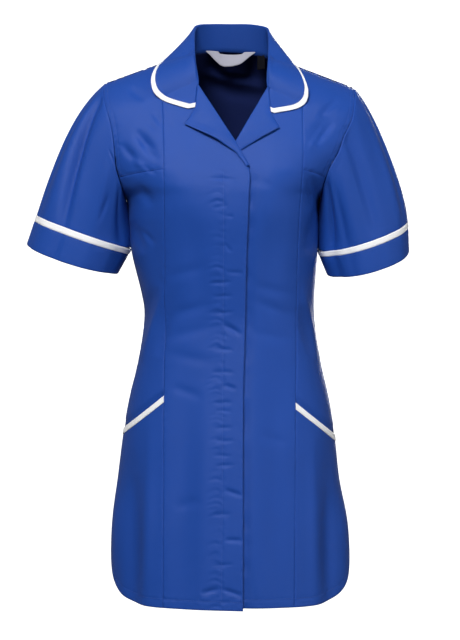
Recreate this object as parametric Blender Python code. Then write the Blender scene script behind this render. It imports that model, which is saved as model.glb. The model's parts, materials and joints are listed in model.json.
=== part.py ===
"""Medical tunic: a women's short-sleeved healthcare tunic in the hollow form that it has when it is worn.

Metres, +Z up, the front towards -Y and the wearer's right towards -X. The origin is in the middle between
the two shoulder neck points. Every piece is a thin cloth wall on one shared body form, 0.3 mm apart at a seam.
"""

import bisect
import collections
import functools
import math

import bmesh
import bpy
from mathutils import Vector

# Cloth and seams
CLOTH = 0.0014  # wall of the main cloth
TRIM = 0.0020  # wall of the white bindings
SEAM_GAP = 0.0003  # between two pieces that are sewn together

# Hands and faces of the body
RIGHT, LEFT = -1, 1  # the wearer's right lies at -X
FRONT, BACK = -1, 1
SIDES = {RIGHT: "right", LEFT: "left"}

# Body form: half widths each side of the centre, and depths before and behind it, by height
Section = collections.namedtuple("Section", "z right left front back")
SECTIONS = (
    Section(0.060, 0.244, 0.238, 0.040, 0.085),
    Section(0.000, 0.242, 0.236, 0.048, 0.088),
    Section(-0.050, 0.238, 0.231, 0.061, 0.094),
    Section(-0.100, 0.226, 0.218, 0.086, 0.100),
    Section(-0.140, 0.212, 0.198, 0.105, 0.102),
    Section(-0.176, 0.193, 0.168, 0.116, 0.102),
    Section(-0.200, 0.174, 0.146, 0.120, 0.100),
    Section(-0.215, 0.157, 0.134, 0.121, 0.099),
    Section(-0.250, 0.1525, 0.1315, 0.120, 0.094),
    Section(-0.294, 0.1485, 0.129, 0.114, 0.087),
    Section(-0.366, 0.1315, 0.1245, 0.104, 0.080),
    Section(-0.400, 0.1305, 0.126, 0.101, 0.082),
    Section(-0.456, 0.1390, 0.1335, 0.104, 0.094),
    Section(-0.516, 0.1530, 0.147, 0.109, 0.108),
    Section(-0.576, 0.1620, 0.156, 0.115, 0.118),
    Section(-0.636, 0.1680, 0.162, 0.120, 0.124),
    Section(-0.720, 0.1765, 0.173, 0.127, 0.130),
    Section(-0.820, 0.1750, 0.1755, 0.133, 0.134),
)
FRONT_SQUARE = 2.5  # exponent of the front half sections, 2 being an ellipse
BACK_SQUARE = 2.4

# Shoulders: the seam runs from the neck point down to the tip
Shoulder = collections.namedtuple("Shoulder", "neck_z tip_x tip_z")
SHOULDERS = {
    RIGHT: Shoulder(0.003, 0.190, -0.043),
    LEFT: Shoulder(-0.003, 0.186, -0.050),
}
SHOULDER_ROUND = 0.060  # drop over which the walls round over to the shoulder seam
NECK_HALF = 0.063
NECK_SPREAD = 0.012  # the back's columns below the neck run this much further apart at the hem
NECK_BACK = 0.062  # reach of the back neck seam behind the shoulder line
NECK_RISE = 0.032  # rise of the form towards the nape

# Bust shaping, soft and general
BUST_X = 0.078
BUST_Z = -0.208
BUST_WIDE = 0.042
BUST_TALL = 0.060
BUST_RISE = 0.007

# Armholes: distance from the centre by height
Armhole = collections.namedtuple("Armhole", "z right left")
UNDERARM_Z = -0.215
ARMHOLES = (
    Armhole(-0.040, 0.1900, 0.1860),
    Armhole(-0.070, 0.1880, 0.1830),
    Armhole(-0.100, 0.1790, 0.1780),
    Armhole(-0.126, 0.1735, 0.1660),
    Armhole(-0.150, 0.1705, 0.1570),
    Armhole(-0.176, 0.1675, 0.1430),
    Armhole(-0.200, 0.1600, 0.1350),
    Armhole(-0.215, 0.1570, 0.1340),
)

# Princess seams: distance from the centre by height
Princess = collections.namedtuple("Princess", "z right left")
PRINCESS = (
    Princess(0.000, 0.1040, 0.1040),
    Princess(-0.120, 0.0985, 0.1050),
    Princess(-0.176, 0.0975, 0.1045),
    Princess(-0.250, 0.0970, 0.0995),
    Princess(-0.400, 0.0975, 0.0960),
    Princess(-0.550, 0.0980, 0.0940),
    Princess(-0.820, 0.0985, 0.0915),
)

# Front edges: signed place of the edge by height, placket below and fold of the revers above
PLACKET_TOP_Z = -0.176
GORGE_Z = {RIGHT: -0.052, LEFT: -0.055}
FrontEdge = collections.namedtuple("FrontEdge", "z x")
FRONT_EDGES = {
    RIGHT: (
        FrontEdge(0.003, -0.0630),
        FrontEdge(-0.052, -0.0499),
        FrontEdge(-0.134, 0.0015),
        FrontEdge(-0.176, 0.0254),
        FrontEdge(-0.220, 0.0256),
        FrontEdge(-0.310, 0.0225),
        FrontEdge(-0.420, 0.0203),
        FrontEdge(-0.500, 0.0179),
        FrontEdge(-0.820, 0.0172),
    ),
    LEFT: (
        FrontEdge(-0.003, 0.0630),
        FrontEdge(-0.055, 0.0557),
        FrontEdge(-0.134, 0.0110),
        FrontEdge(-0.176, -0.0155),
        FrontEdge(-0.220, -0.0165),
        FrontEdge(-0.820, -0.0165),
    ),
}
UNDERLAP_INSET = 0.0024  # the left front lies this far under the right one
UNDERLAP_REACH = (0.026, 0.062)  # where the inset begins to fade and where it has gone
CROSSING = (0.004, -0.150)  # where the two revers cross, as x and z
CROSSING_INSET = 0.0042
CROSSING_SPREAD = 0.034

# Rows of the wall grids, from the hem up: heights at the front edge, princess seam, side and back centre,
# and the number of steps to the next row
Anchor = collections.namedtuple("Anchor", "edge princess side back steps")
HEM_ANCHOR = Anchor(-0.814, -0.814, -0.722, -0.812, 4)
VENT_Z = -0.640
ANCHORS = (
    HEM_ANCHOR,
    Anchor(VENT_Z, VENT_Z, VENT_Z, VENT_Z, 3),
    Anchor(-0.500, -0.500, -0.500, -0.500, 3),
    Anchor(-0.400, -0.400, -0.400, -0.400, 6),
    Anchor(-0.214, -0.215, UNDERARM_Z, -0.215, 2),
    Anchor(PLACKET_TOP_Z, -0.178, -0.188, -0.165, 4),
    Anchor(-0.052, -0.075, -0.110, -0.060, 5),
)
WAIST = ANCHORS[3]
WAIST_ROW = sum(anchor.steps for anchor in ANCHORS[:3])
UNDERARM_ROW = sum(anchor.steps for anchor in ANCHORS[:4])
BUST_ROW = sum(anchor.steps for anchor in ANCHORS[:5])
ROWS = sum(anchor.steps for anchor in ANCHORS)
FRONT_COLUMNS = 7
SIDE_COLUMNS = 7
CHEST_COLUMNS = 6
POCKET_COLUMNS = 9
POCKET_ROWS = 9
BACK_COLUMNS = 7  # each side of the neck
NECK_COLUMNS = 6
NECK_BREADTH = 0.28  # share of the back's half breadth that lies under the neck
NECK_WIDENS = 0.75  # share of the back's height from which its columns lead into the neck
HEM_SWEEP = 0.022  # rise of the hem spread softly towards the side; the rest rounds the corner at the vent
HEM_SWEEP_POWER = 1.5
HEM_CORNER_POWER = 5.0
VENT_OPEN = 0.020  # turn, in radians, by which each vent edge has drawn back at the hem

# Pockets: heights of the slanted opening at the princess seam and at the side seam
Pocket = collections.namedtuple("Pocket", "princess_z side_z")
POCKETS = {RIGHT: Pocket(-0.516, -0.567), LEFT: Pocket(-0.526, -0.577)}
POCKET_BINDING = 0.0095  # height of the white binding
POCKET_BOTTOM_Z = -0.632
POCKET_INSET = 0.0030  # the pocket's back lies this far behind its front
POCKET_EASE = 0.014  # height above the binding over which it comes forward again
POCKET_PROUD = 0.0006  # the binding stands out this far

# Folds of the worn cloth: each runs from one front-view point to another
Fold = collections.namedtuple("Fold", "face x0 z0 x1 z1 half_width depth")
FOLDS = (
    Fold(FRONT, -0.139, -0.620, -0.143, -0.840, 0.012, 0.0050),
    Fold(FRONT, 0.142, -0.640, 0.147, -0.840, 0.012, 0.0050),
    Fold(FRONT, -0.116, -0.250, -0.108, -0.350, 0.012, 0.0022),
    Fold(FRONT, 0.110, -0.370, 0.128, -0.450, 0.010, 0.0028),
    Fold(FRONT, 0.108, -0.175, 0.126, -0.215, 0.008, 0.0022),
    Fold(FRONT, -0.137, -0.120, -0.110, -0.160, 0.010, 0.0030),
    Fold(FRONT, 0.150, -0.090, 0.115, -0.140, 0.010, 0.0030),
    Fold(BACK, -0.060, -0.560, -0.070, -0.840, 0.020, 0.0045),
    Fold(BACK, 0.066, -0.580, 0.078, -0.840, 0.018, 0.0045),
    Fold(BACK, -0.130, -0.600, -0.142, -0.840, 0.016, 0.0045),
    Fold(BACK, 0.128, -0.600, 0.144, -0.840, 0.016, 0.0045),
    Fold(BACK, -0.080, -0.330, 0.010, -0.395, 0.014, 0.0035),
    Fold(BACK, 0.085, -0.345, 0.015, -0.410, 0.014, 0.0035),
    Fold(BACK, -0.128, -0.120, -0.100, -0.215, 0.014, 0.0030),
    Fold(BACK, 0.128, -0.120, 0.100, -0.215, 0.014, 0.0030),
)

# Sleeves: ends of the band and hem lines as seen from the front, half depths and dips of their front edges
SleeveRing = collections.namedtuple("SleeveRing", "outer_x outer_z inner_x inner_z half_depth dip")
BAND_RINGS = {
    RIGHT: SleeveRing(-0.2910, -0.2385, -0.1540, -0.2875, 0.057, 0.005),
    LEFT: SleeveRing(0.2640, -0.2475, 0.1345, -0.2895, 0.056, 0.014),
}
HEM_RINGS = {
    RIGHT: SleeveRing(-0.3050, -0.2820, -0.1734, -0.3236, 0.054, 0.011),
    LEFT: SleeveRing(0.2664, -0.2933, 0.1488, -0.3255, 0.053, 0.017),
}
SLEEVE_FORWARD = -0.004  # the cuffs hang this far towards the front
SLEEVE_ROWS = 10
SLEEVE_STANDOFF = 1.5  # seam gaps between the armhole and the sleeve at the underarm, fewer at the tip

# Run of the sleeve's cloth under the arm and over its top: the way it leaves the armhole, as shares of
# outwards and upwards, and how far it keeps its way at the armhole and at the band
Run = collections.namedtuple("Run", "outwards upwards armhole_reach band_reach")
UNDER_RUN = Run(0.10, -1.00, 0.018, 0.022)
TOP_RUN = {RIGHT: Run(0.82, -0.57, 0.052, 0.086), LEFT: Run(0.85, -0.53, 0.025, 0.052)}
BAND_TURN = 1.5  # how soon round the arm the cloth follows the slant of the cuff

BAND_SHARE = 0.20  # part of the way from band line to hem that the white band takes
BAND_PROUD = 0.0009
CUFF_PROUD = 0.0006
CUFF_WALL = 0.0022
CUFF_ROWS = 3

# Collar and revers
FOLD_RADIUS = 0.0024
FOLD_DEPTH = 0.0002  # centre of the fold's round below the panel's outer face
FOLD_FORWARD = 0.0005  # and this far outside the edge of the panel
COLLAR_LIFT = 0.0026  # top face of the collar's outer edge above the panels
NECK_TURNING = 0.55  # share of the collar's half length at which it passes the shoulder neck point
UPRIGHT_FLOOR = 0.18  # least share of the shoulder's own direction in that of the fall's edge
FOOT_BACK = 0.0020  # foot of the stand above the neck seam at the back
FOOT_FRONT = -0.0016  # and at the gorge
# Top of the fold, its lean from upright in degrees, and the outer edge by its place across the shoulders and
# how far it hangs over them: 0 on the shoulder line and 1 where the front is upright
Collar = collections.namedtuple("Collar", "share x y z lean edge_x edge_q")
COLLARS = {
    RIGHT: (
        Collar(0.000, 0.0000, 0.0700, 0.0580, -14, 0.000, -0.76),
        Collar(0.143, -0.0300, 0.0660, 0.0578, -12, -0.048, -0.66),
        Collar(0.286, -0.0500, 0.0500, 0.0540, -6, -0.079, -0.40),
        Collar(0.429, -0.0555, 0.0300, 0.0445, 6, -0.094, -0.08),
        Collar(0.571, -0.0560, 0.0000, 0.0250, 22, -0.109, 0.36),
        Collar(0.714, -0.0545, -0.0360, -0.0040, 42, -0.117, 0.74),
        Collar(0.857, -0.0515, -0.0545, -0.0290, 55, -0.101, 1.03),
    ),
    LEFT: (
        Collar(0.000, 0.0000, 0.0700, 0.0580, -14, 0.000, -0.76),
        Collar(0.143, 0.0300, 0.0660, 0.0572, -12, 0.046, -0.66),
        Collar(0.286, 0.0520, 0.0500, 0.0515, -6, 0.075, -0.40),
        Collar(0.429, 0.0565, 0.0300, 0.0420, 6, 0.088, -0.04),
        Collar(0.571, 0.0570, 0.0000, 0.0215, 22, 0.102, 0.46),
        Collar(0.714, 0.0560, -0.0360, -0.0080, 42, 0.113, 0.82),
        Collar(0.857, 0.0545, -0.0545, -0.0330, 55, 0.100, 1.09),
    ),
}
COLLAR_END = {RIGHT: (-0.0531, 1.39), LEFT: (0.0581, 1.37)}  # the same two measures of the edge at the gorge

# Free edges of the revers as seen from the front, from the notch down to the placket, by share of the fold's
# length
Corner = collections.namedtuple("Corner", "share x z")
REVERS = {
    RIGHT: (
        Corner(0.20, -0.0524, -0.0864),
        Corner(0.30, -0.0674, -0.1123),
        Corner(0.61, -0.0203, -0.1360),
        Corner(0.81, 0.0063, -0.1536),
        Corner(1.00, 0.0225, -0.1750),
    ),
    LEFT: (
        Corner(0.27, 0.0581, -0.0929),
        Corner(0.41, 0.0703, -0.1174),
        Corner(0.64, 0.0430, -0.1330),
        Corner(0.88, 0.0151, -0.1497),
        Corner(1.00, 0.0044, -0.1589),
    ),
}
REVERS_END_Z = {RIGHT: -0.1740, LEFT: -0.1560}
REVERS_STEPS = 3  # rows from one corner to the next
REVERS_BULGE = 0.0016
BULGE_WIDTH = 0.040  # narrower stretches bulge less
FOLD_SHARE = 0.34  # share of a revers' grid that goes round its fold
GORGE_START = 0.055  # share of the gorge line that ends the first row of a revers
LIFT_REACH = 0.016  # distance from the fold at which a revers has its full lift

# Shares of the collar's height: the stand ends, the round of the fold ends, the binding begins
STAND_SHARE = 0.22
ROUND_SHARE = 0.36
BINDING_SHARE = 0.86
FALL_BULGE = 0.0012
MEETING_SHARE = 0.80  # share of the length from which on the collar takes on the form of the revers
COLLAR_COLUMNS = 44
BINDING_PROUD = 0.0004

# Labels inside the back neck
LABEL_HALF = 0.036
LABEL_GAP = 0.0018  # from the back's inner face
LABEL_TOP_Z = 0.0080
LABEL_SAG = 0.0120
LABEL_HEIGHT = 0.0110
LABEL_BULGE = 0.0050
LABEL_WALL = 0.0010
TAG_GAP = 0.0026
TAG_X = (0.0385, 0.0500)
TAG_Z = (-0.0160, 0.0060)
TAG_FLARE = 0.0012  # its lower edge stands off this much more

# Colours, as linear red, green and blue
BLUE = (0.040, 0.110, 0.420)
WHITE = (0.86, 0.87, 0.88)
LABEL_GREY = (0.55, 0.55, 0.60)
TAG_BLACK = (0.012, 0.012, 0.018)
Finish = collections.namedtuple("Finish", "colour roughness")
CLOTH_FINISH = Finish(BLUE, 0.82)
TRIM_FINISH = Finish(WHITE, 0.70)
LABEL_FINISH = Finish(LABEL_GREY, 0.60)
TAG_FINISH = Finish(TAG_BLACK, 0.65)
SHARP_ANGLE = 50  # edges with a greater turn, in degrees, are shown sharp

STEP = 0.002  # step in a grid's own measure for reading the direction of a surface


class Curve:
    """A smooth curve through one column of a table, read at any place along its key column."""

    def __init__(self, table, key, column):
        rows = sorted(table, key=lambda row: getattr(row, key))
        self.keys = [getattr(row, key) for row in rows]
        self.values = [getattr(row, column) for row in rows]
        self.slopes = [self.slope(index) for index in range(len(rows))]

    def slope(self, index):
        """Slope at a row, from its two neighbours."""
        before, after = max(index - 1, 0), min(index + 1, len(self.keys) - 1)
        return (self.values[after] - self.values[before]) / (self.keys[after] - self.keys[before])

    def __call__(self, at):
        at = min(max(at, self.keys[0]), self.keys[-1])
        low = min(bisect.bisect_right(self.keys, at) - 1, len(self.keys) - 2)
        span = self.keys[low + 1] - self.keys[low]
        share = (at - self.keys[low]) / span
        rest = 1.0 - share
        start = self.values[low] * (1 + 2 * share) * rest**2 + self.slopes[low] * span * share * rest**2
        end = self.values[low + 1] * (3 - 2 * share) * share**2
        return start + end - self.slopes[low + 1] * span * rest * share**2


WIDTH = {hand: Curve(SECTIONS, "z", name) for hand, name in SIDES.items()}
DEPTH = {FRONT: Curve(SECTIONS, "z", "front"), BACK: Curve(SECTIONS, "z", "back")}
SQUARE = {FRONT: FRONT_SQUARE, BACK: BACK_SQUARE}
ARM_EDGE = {hand: Curve(ARMHOLES, "z", name) for hand, name in SIDES.items()}
PRINCESS_EDGE = {hand: Curve(PRINCESS, "z", name) for hand, name in SIDES.items()}
PLACKET_EDGE = Curve(FRONT_EDGES[RIGHT], "z", "x")


def lerp(low, high, share):
    """Value or point between two others."""
    return low + (high - low) * share


def ease(value):
    """0 below 0, 1 above 1 and a soft step between."""
    value = min(max(value, 0.0), 1.0)
    return value * value * (3.0 - 2.0 * value)


def broken_line(table, key, column, at):
    """Straight runs between the rows of a table."""
    rows = sorted(table, key=lambda row: getattr(row, key))
    at = min(max(at, getattr(rows[0], key)), getattr(rows[-1], key))
    for low, high in zip(rows, rows[1:]):
        if at <= getattr(high, key):
            share = (at - getattr(low, key)) / (getattr(high, key) - getattr(low, key))
            return lerp(getattr(low, column), getattr(high, column), share)


def hand_of(x):
    """The wearer's side that a place lies on."""
    return LEFT if x > 0 else RIGHT


def ridge(x):
    """Height of the form over a place across the shoulders."""
    shoulder = SHOULDERS[hand_of(x)]
    reach = abs(x)
    if reach < NECK_HALF:
        share = reach / NECK_HALF
        return shoulder.neck_z * share + NECK_RISE * (1.0 - share**2)
    slope = (shoulder.neck_z - shoulder.tip_z) / (shoulder.tip_x - NECK_HALF)
    return shoulder.neck_z - slope * (reach - NECK_HALF)


def rounding(x, z):
    """Share of the full depth that is left where the walls round over to the shoulder seam."""
    drop = min(max((ridge(x) - z) / SHOULDER_ROUND, 0.0), 1.0)
    return math.sqrt(1.0 - (1.0 - drop) ** 2)


def fold_depth(face, x, z):
    """How far the folds draw the cloth in at a place, seen from the front."""
    total = 0.0
    for fold in FOLDS:
        if fold.face != face:
            continue
        run_x, run_z = fold.x1 - fold.x0, fold.z1 - fold.z0
        length = math.hypot(run_x, run_z)
        along = ((x - fold.x0) * run_x + (z - fold.z0) * run_z) / length**2
        if not 0.0 < along < 1.0:
            continue
        aside = ((x - fold.x0) * run_z - (z - fold.z0) * run_x) / length
        total += fold.depth * math.sin(math.pi * along) * math.exp(-((aside / fold.half_width) ** 2))
    return total


def turn_at(face, x, z):
    """Turn round the section, 0 at the centre and a quarter at the side, where it passes a place."""
    share = min(abs(x) / WIDTH[hand_of(x)](z), 1.0)
    return math.copysign(math.asin(share ** (SQUARE[face] / 2.0)), x)


def skin(face, turn, z, inset=0.0):
    """Outer face of the worn cloth at a turn and a height."""
    hand = hand_of(turn)
    power = 2.0 / SQUARE[face]
    x = hand * WIDTH[hand](z) * math.sin(abs(turn)) ** power
    y = face * DEPTH[face](z) * max(math.cos(turn), 0.0) ** power
    if face == FRONT:
        across = (abs(x) - BUST_X) / BUST_WIDE
        up = (z - BUST_Z) / BUST_TALL
        y -= BUST_RISE * math.exp(-across * across - up * up)
    y *= rounding(x, z)
    inward = inset + fold_depth(face, x, z)
    x -= math.sin(turn) * inward
    y -= face * math.cos(turn) * inward
    return Vector((x, y, z))


def skin_at(face, x, z, inset=0.0):
    """Outer face of the worn cloth at a place seen from the front or the back."""
    return skin(face, turn_at(face, x, z), z, inset)


def skin_normal(face, x, z):
    """Outward direction of the skin at a place."""
    side = skin_at(face, x + STEP, z) - skin_at(face, x - STEP, z)
    up = skin_at(face, x, z + STEP) - skin_at(face, x, z - STEP)
    return (side.cross(up) * -face).normalized()


def shoulder_direction(_, point):
    """Direction of both walls where they meet at the shoulder seam, or None beside it."""
    shoulder = SHOULDERS[hand_of(point.x)]
    if abs(point.x) < NECK_HALF - SEAM_GAP:
        return None
    slope = (shoulder.neck_z - shoulder.tip_z) / (shoulder.tip_x - NECK_HALF)
    return Vector((hand_of(point.x) * slope, 0.0, 1.0)).normalized()


def grid_normal(surface, across, along):
    """Direction square to a surface, read from its own two measures."""
    low, high = max(across - STEP, 0.0), min(across + STEP, 1.0)
    side = surface(high, along) - surface(low, along)
    low, high = max(along - STEP, 0.0), min(along + STEP, 1.0)
    up = surface(across, high) - surface(across, low)
    return side.cross(up).normalized()


def draw_back(points, step, closed):
    """Pulls the edge points of a grid inwards, which leaves the seam gap."""
    if not closed:
        for row in points:
            row[0] += (row[1] - row[0]).normalized() * step
            row[-1] += (row[-2] - row[-1]).normalized() * step
    for column in range(len(points[0])):
        points[0][column] += (points[1][column] - points[0][column]).normalized() * step
        points[-1][column] += (points[-2][column] - points[-1][column]).normalized() * step


def finish_material(name, finish):
    """The piece's own material."""
    material = bpy.data.materials.new(name + "_cloth")
    material.use_nodes = True
    shader = material.node_tree.nodes["Principled BSDF"]
    shader.inputs["Base Color"].default_value = (*finish.colour, 1.0)
    shader.inputs["Roughness"].default_value = finish.roughness
    shader.inputs["Metallic"].default_value = 0.0
    return material


def add_wall(name, outer, inner, closed, finish):
    """A closed wall between two grids of points, open or closed round its columns."""
    mesh = bpy.data.meshes.new(name)
    work = bmesh.new()
    faces = [[[work.verts.new(point) for point in row] for row in side] for side in (outer, inner)]
    rows, columns = len(outer), len(outer[0])
    spans = columns if closed else columns - 1
    for side in faces:
        for row in range(rows - 1):
            for column in range(spans):
                after = (column + 1) % columns
                work.faces.new(
                    (side[row][column], side[row][after], side[row + 1][after], side[row + 1][column])
                )
    front, back = faces
    for row in (0, rows - 1):
        for column in range(spans):
            after = (column + 1) % columns
            work.faces.new((front[row][column], front[row][after], back[row][after], back[row][column]))
    if not closed:
        for column in (0, columns - 1):
            for row in range(rows - 1):
                work.faces.new(
                    (front[row][column], front[row + 1][column], back[row + 1][column], back[row][column])
                )
    bmesh.ops.recalc_face_normals(work, faces=work.faces)
    work.to_mesh(mesh)
    work.free()
    mesh.shade_smooth()
    mesh.set_sharp_from_angle(angle=math.radians(SHARP_ANGLE))
    piece = bpy.data.objects.new(name, mesh)
    mesh.materials.append(finish_material(name, finish))
    bpy.context.scene.collection.objects.link(piece)
    return piece


def share_directions(points, normals, across, along, edges):
    """Sets the directions along grid edges to those that the neighbouring piece has."""
    for edge, direction in edges.items():
        if edge in ("first row", "last row"):
            row = 0 if edge == "first row" else -1
            for column, measure in enumerate(across):
                normals[row][column] = direction(measure, points[row][column]) or normals[row][column]
        else:
            column = 0 if edge == "first column" else -1
            for row, measure in enumerate(along):
                normals[row][column] = direction(measure, points[row][column]) or normals[row][column]


def add_sheet(
    name, surface, across, along, facing, wall=CLOTH, finish=CLOTH_FINISH, closed=False, proud=0.0, edges=None
):
    """A cloth piece: its surface's outer face at the given measures, and its wall behind that.

    facing is 1 where the surface's own normal points outwards, else -1. edges gives a function of the
    measure and the point for each grid edge whose direction is shared with the next piece.
    """
    outer, inner = [], []
    points = [[surface(u, v) for u in across] for v in along]
    normals = [[grid_normal(surface, u, v) * facing for u in across] for v in along]
    share_directions(points, normals, across, along, edges or {})
    draw_back(points, SEAM_GAP / 2, closed)
    for row, normal_row in zip(points, normals):
        outer.append([point + normal * proud for point, normal in zip(row, normal_row)])
        inner.append([point + normal * (proud - wall) for point, normal in zip(row, normal_row)])
    return add_wall(name, outer, inner, closed, finish)


def shares(count):
    """Even shares from 0 to 1."""
    return [index / count for index in range(count + 1)]


def hem_rise(side_reach, rise):
    """Rise of the hem towards the side, where its corner is rounded."""
    return HEM_SWEEP * side_reach**HEM_SWEEP_POWER + (rise - HEM_SWEEP) * side_reach**HEM_CORNER_POWER


def row_height(column, share, top, side_reach=0.0):
    """Height of a wall row at one of the anchor columns, with the rows closer together at the top."""
    place = share * ROWS
    heights = [getattr(anchor, column) for anchor in ANCHORS] + [top]
    steps = [anchor.steps for anchor in ANCHORS]
    if column == "side":
        heights[0] = HEM_ANCHOR.princess + hem_rise(side_reach, HEM_ANCHOR.side - HEM_ANCHOR.princess)
    for index, count in enumerate(steps):
        if place <= count or index == len(steps) - 1:
            local = min(place / count, 1.0)
            if index == len(steps) - 1:
                local = math.sin(local * math.pi / 2.0)
            return lerp(heights[index], heights[index + 1], local)
        place -= count


def front_edge_x(hand, z):
    """Signed place of a front's own edge, which bends softly below the top of the placket that shows."""
    if hand == RIGHT and z < PLACKET_TOP_Z:
        return PLACKET_EDGE(z)
    return broken_line(FRONT_EDGES[hand], "z", "x", z)


def side_turn(face, hand, z):
    """Turn at the side seam, drawn back at the vents, or at the armhole above it."""
    if z > UNDERARM_Z:
        return abs(turn_at(face, hand * ARM_EDGE[hand](z), z))
    vent = max(VENT_Z - z, 0.0) / (VENT_Z - HEM_ANCHOR.side)
    return math.pi / 2.0 - VENT_OPEN * ease(vent)


def underlap(x, z):
    """How far the left front lies under the right one."""
    start, end = UNDERLAP_REACH
    inset = UNDERLAP_INSET * (1.0 - ease((x - start) / (end - start)))
    reach = math.hypot(x - CROSSING[0], z - CROSSING[1])
    return inset + CROSSING_INSET * math.exp(-((reach / CROSSING_SPREAD) ** 2))


def centre_front(hand):
    """Surface of a centre front, from its own edge to the princess seam and from the hem up."""
    shoulder_x = hand * PRINCESS_EDGE[hand](0.0)

    def surface(across, along):
        z_edge = row_height("edge", along, SHOULDERS[hand].neck_z)
        z_seam = row_height("princess", along, ridge(shoulder_x))
        z = lerp(z_edge, z_seam, across)
        x_edge = front_edge_x(hand, z_edge)
        x_seam = hand * PRINCESS_EDGE[hand](z_seam)
        x = lerp(x_edge, x_seam, across)
        inset = underlap(x, z) if hand == LEFT else 0.0
        return skin_at(FRONT, x, min(z, ridge(x)), inset)

    return surface


def pocket_line(hand, x, rise=0.0):
    """Height of the pocket opening's lower line at a place, plus a rise."""
    pocket = POCKETS[hand]
    x_seam = PRINCESS_EDGE[hand](pocket.princess_z)
    x_side = WIDTH[hand](pocket.side_z)
    share = (abs(x) - x_seam) / (x_side - x_seam)
    return lerp(pocket.princess_z, pocket.side_z, share) + rise


def side_point(hand, across, z, inset=0.0):
    """Skin point between the princess seam and the side, by its share of the turn."""
    start = abs(turn_at(FRONT, hand * PRINCESS_EDGE[hand](z), z))
    turn = hand * lerp(start, side_turn(FRONT, hand, z), across)
    return skin(FRONT, turn, z, inset)


def on_shoulder(point):
    """The point, or the shoulder seam below it where it lies above the form."""
    if point.z <= ridge(point.x):
        return point
    return Vector((point.x, 0.0, ridge(point.x)))


def chest(hand):
    """Surface of a chest piece, from the bust seam to the shoulder."""
    shoulder = SHOULDERS[hand]
    shoulder_x = hand * PRINCESS_EDGE[hand](0.0)

    def surface(across, along):
        share = lerp(BUST_ROW / ROWS, 1.0, along)
        z_seam = row_height("princess", share, ridge(shoulder_x))
        z_side = row_height("side", share, shoulder.tip_z)
        z = lerp(z_seam, z_side, across)
        start = abs(turn_at(FRONT, hand * PRINCESS_EDGE[hand](z_seam), z))
        end = abs(turn_at(FRONT, hand * ARM_EDGE[hand](z_side), z))
        return on_shoulder(skin(FRONT, hand * lerp(start, end, across), z))

    return surface


Level = collections.namedtuple("Level", "seam side")


def side_front_levels(hand):
    """Heights of a side front's rows at the princess seam and at the side, from behind the pocket up."""
    pocket = POCKETS[hand]
    shoulder_z = ridge(hand * PRINCESS_EDGE[hand](0.0))
    levels = [Level(POCKET_BOTTOM_Z, POCKET_BOTTOM_Z)]
    for rise in (0.0, POCKET_BINDING, POCKET_BINDING + POCKET_EASE):
        levels.append(Level(pocket.princess_z + rise, pocket.side_z + rise))
    low = levels[-1]
    for share in shares(3)[1:-1]:
        levels.append(Level(lerp(low.seam, WAIST.princess, share), lerp(low.side, WAIST.side, share)))
    for row in range(WAIST_ROW, BUST_ROW + 1):
        z_seam = row_height("princess", row / ROWS, shoulder_z)
        levels.append(Level(z_seam, row_height("side", row / ROWS, SHOULDERS[hand].tip_z)))
    return levels


def side_front(hand, levels):
    """Surface of a side front, from behind the pocket opening up to the bust seam."""

    def surface(across, along):
        place = along * (len(levels) - 1)
        low = min(int(place), len(levels) - 2)
        z_seam = lerp(levels[low].seam, levels[low + 1].seam, place - low)
        z_side = lerp(levels[low].side, levels[low + 1].side, place - low)
        z = lerp(z_seam, z_side, across)
        start = abs(turn_at(FRONT, hand * PRINCESS_EDGE[hand](z_seam), z))
        if z_side > UNDERARM_Z:
            end = abs(turn_at(FRONT, hand * ARM_EDGE[hand](z_side), z))
        else:
            end = side_turn(FRONT, hand, z)
        turn = hand * lerp(start, end, across)
        depth = pocket_line(hand, skin(FRONT, turn, z).x, POCKET_BINDING + POCKET_EASE) - z
        return skin(FRONT, turn, z, POCKET_INSET * ease(depth / POCKET_EASE))

    return surface


def pocket_front(hand):
    """Surface of a lower side front, from the hem up to the bound pocket edge."""
    pocket = POCKETS[hand]

    def surface(across, along):
        z_hem = row_height("side", 0.0, 0.0, across)
        z_top = lerp(pocket.princess_z, pocket.side_z, across)
        z = lerp(z_hem, z_top, along)
        point = side_point(hand, across, z)
        top = pocket_line(hand, point.x)
        z = lerp(z_hem, top, along)
        return side_point(hand, across, z)

    return surface


def pocket_binding(hand):
    """Surface of the white binding on the pocket edge."""
    pocket = POCKETS[hand]

    def surface(across, along):
        z = lerp(pocket.princess_z, pocket.side_z, across)
        point = side_point(hand, across, z)
        z = pocket_line(hand, point.x, POCKET_BINDING * along)
        return side_point(hand, across, z)

    return surface


def neck_seam(x):
    """Point of the back neck seam at a place across the neck."""
    reach = min(abs(x) / NECK_HALF, 1.0)
    wanted = NECK_BACK * math.sqrt(1.0 - reach**2)
    share = min(wanted / DEPTH[BACK](0.0), 1.0)
    z = ridge(x) - SHOULDER_ROUND * (1.0 - math.sqrt(1.0 - share**2))
    return skin_at(BACK, x, z)


def back_hem(side_reach, along):
    """Height of the back's rows between the hem, which turns up at the side, and the top of the vents."""
    hem = HEM_ANCHOR.back + hem_rise(side_reach, HEM_ANCHOR.side - HEM_ANCHOR.back)
    return lerp(hem, VENT_Z, along * ROWS / HEM_ANCHOR.steps)


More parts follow.
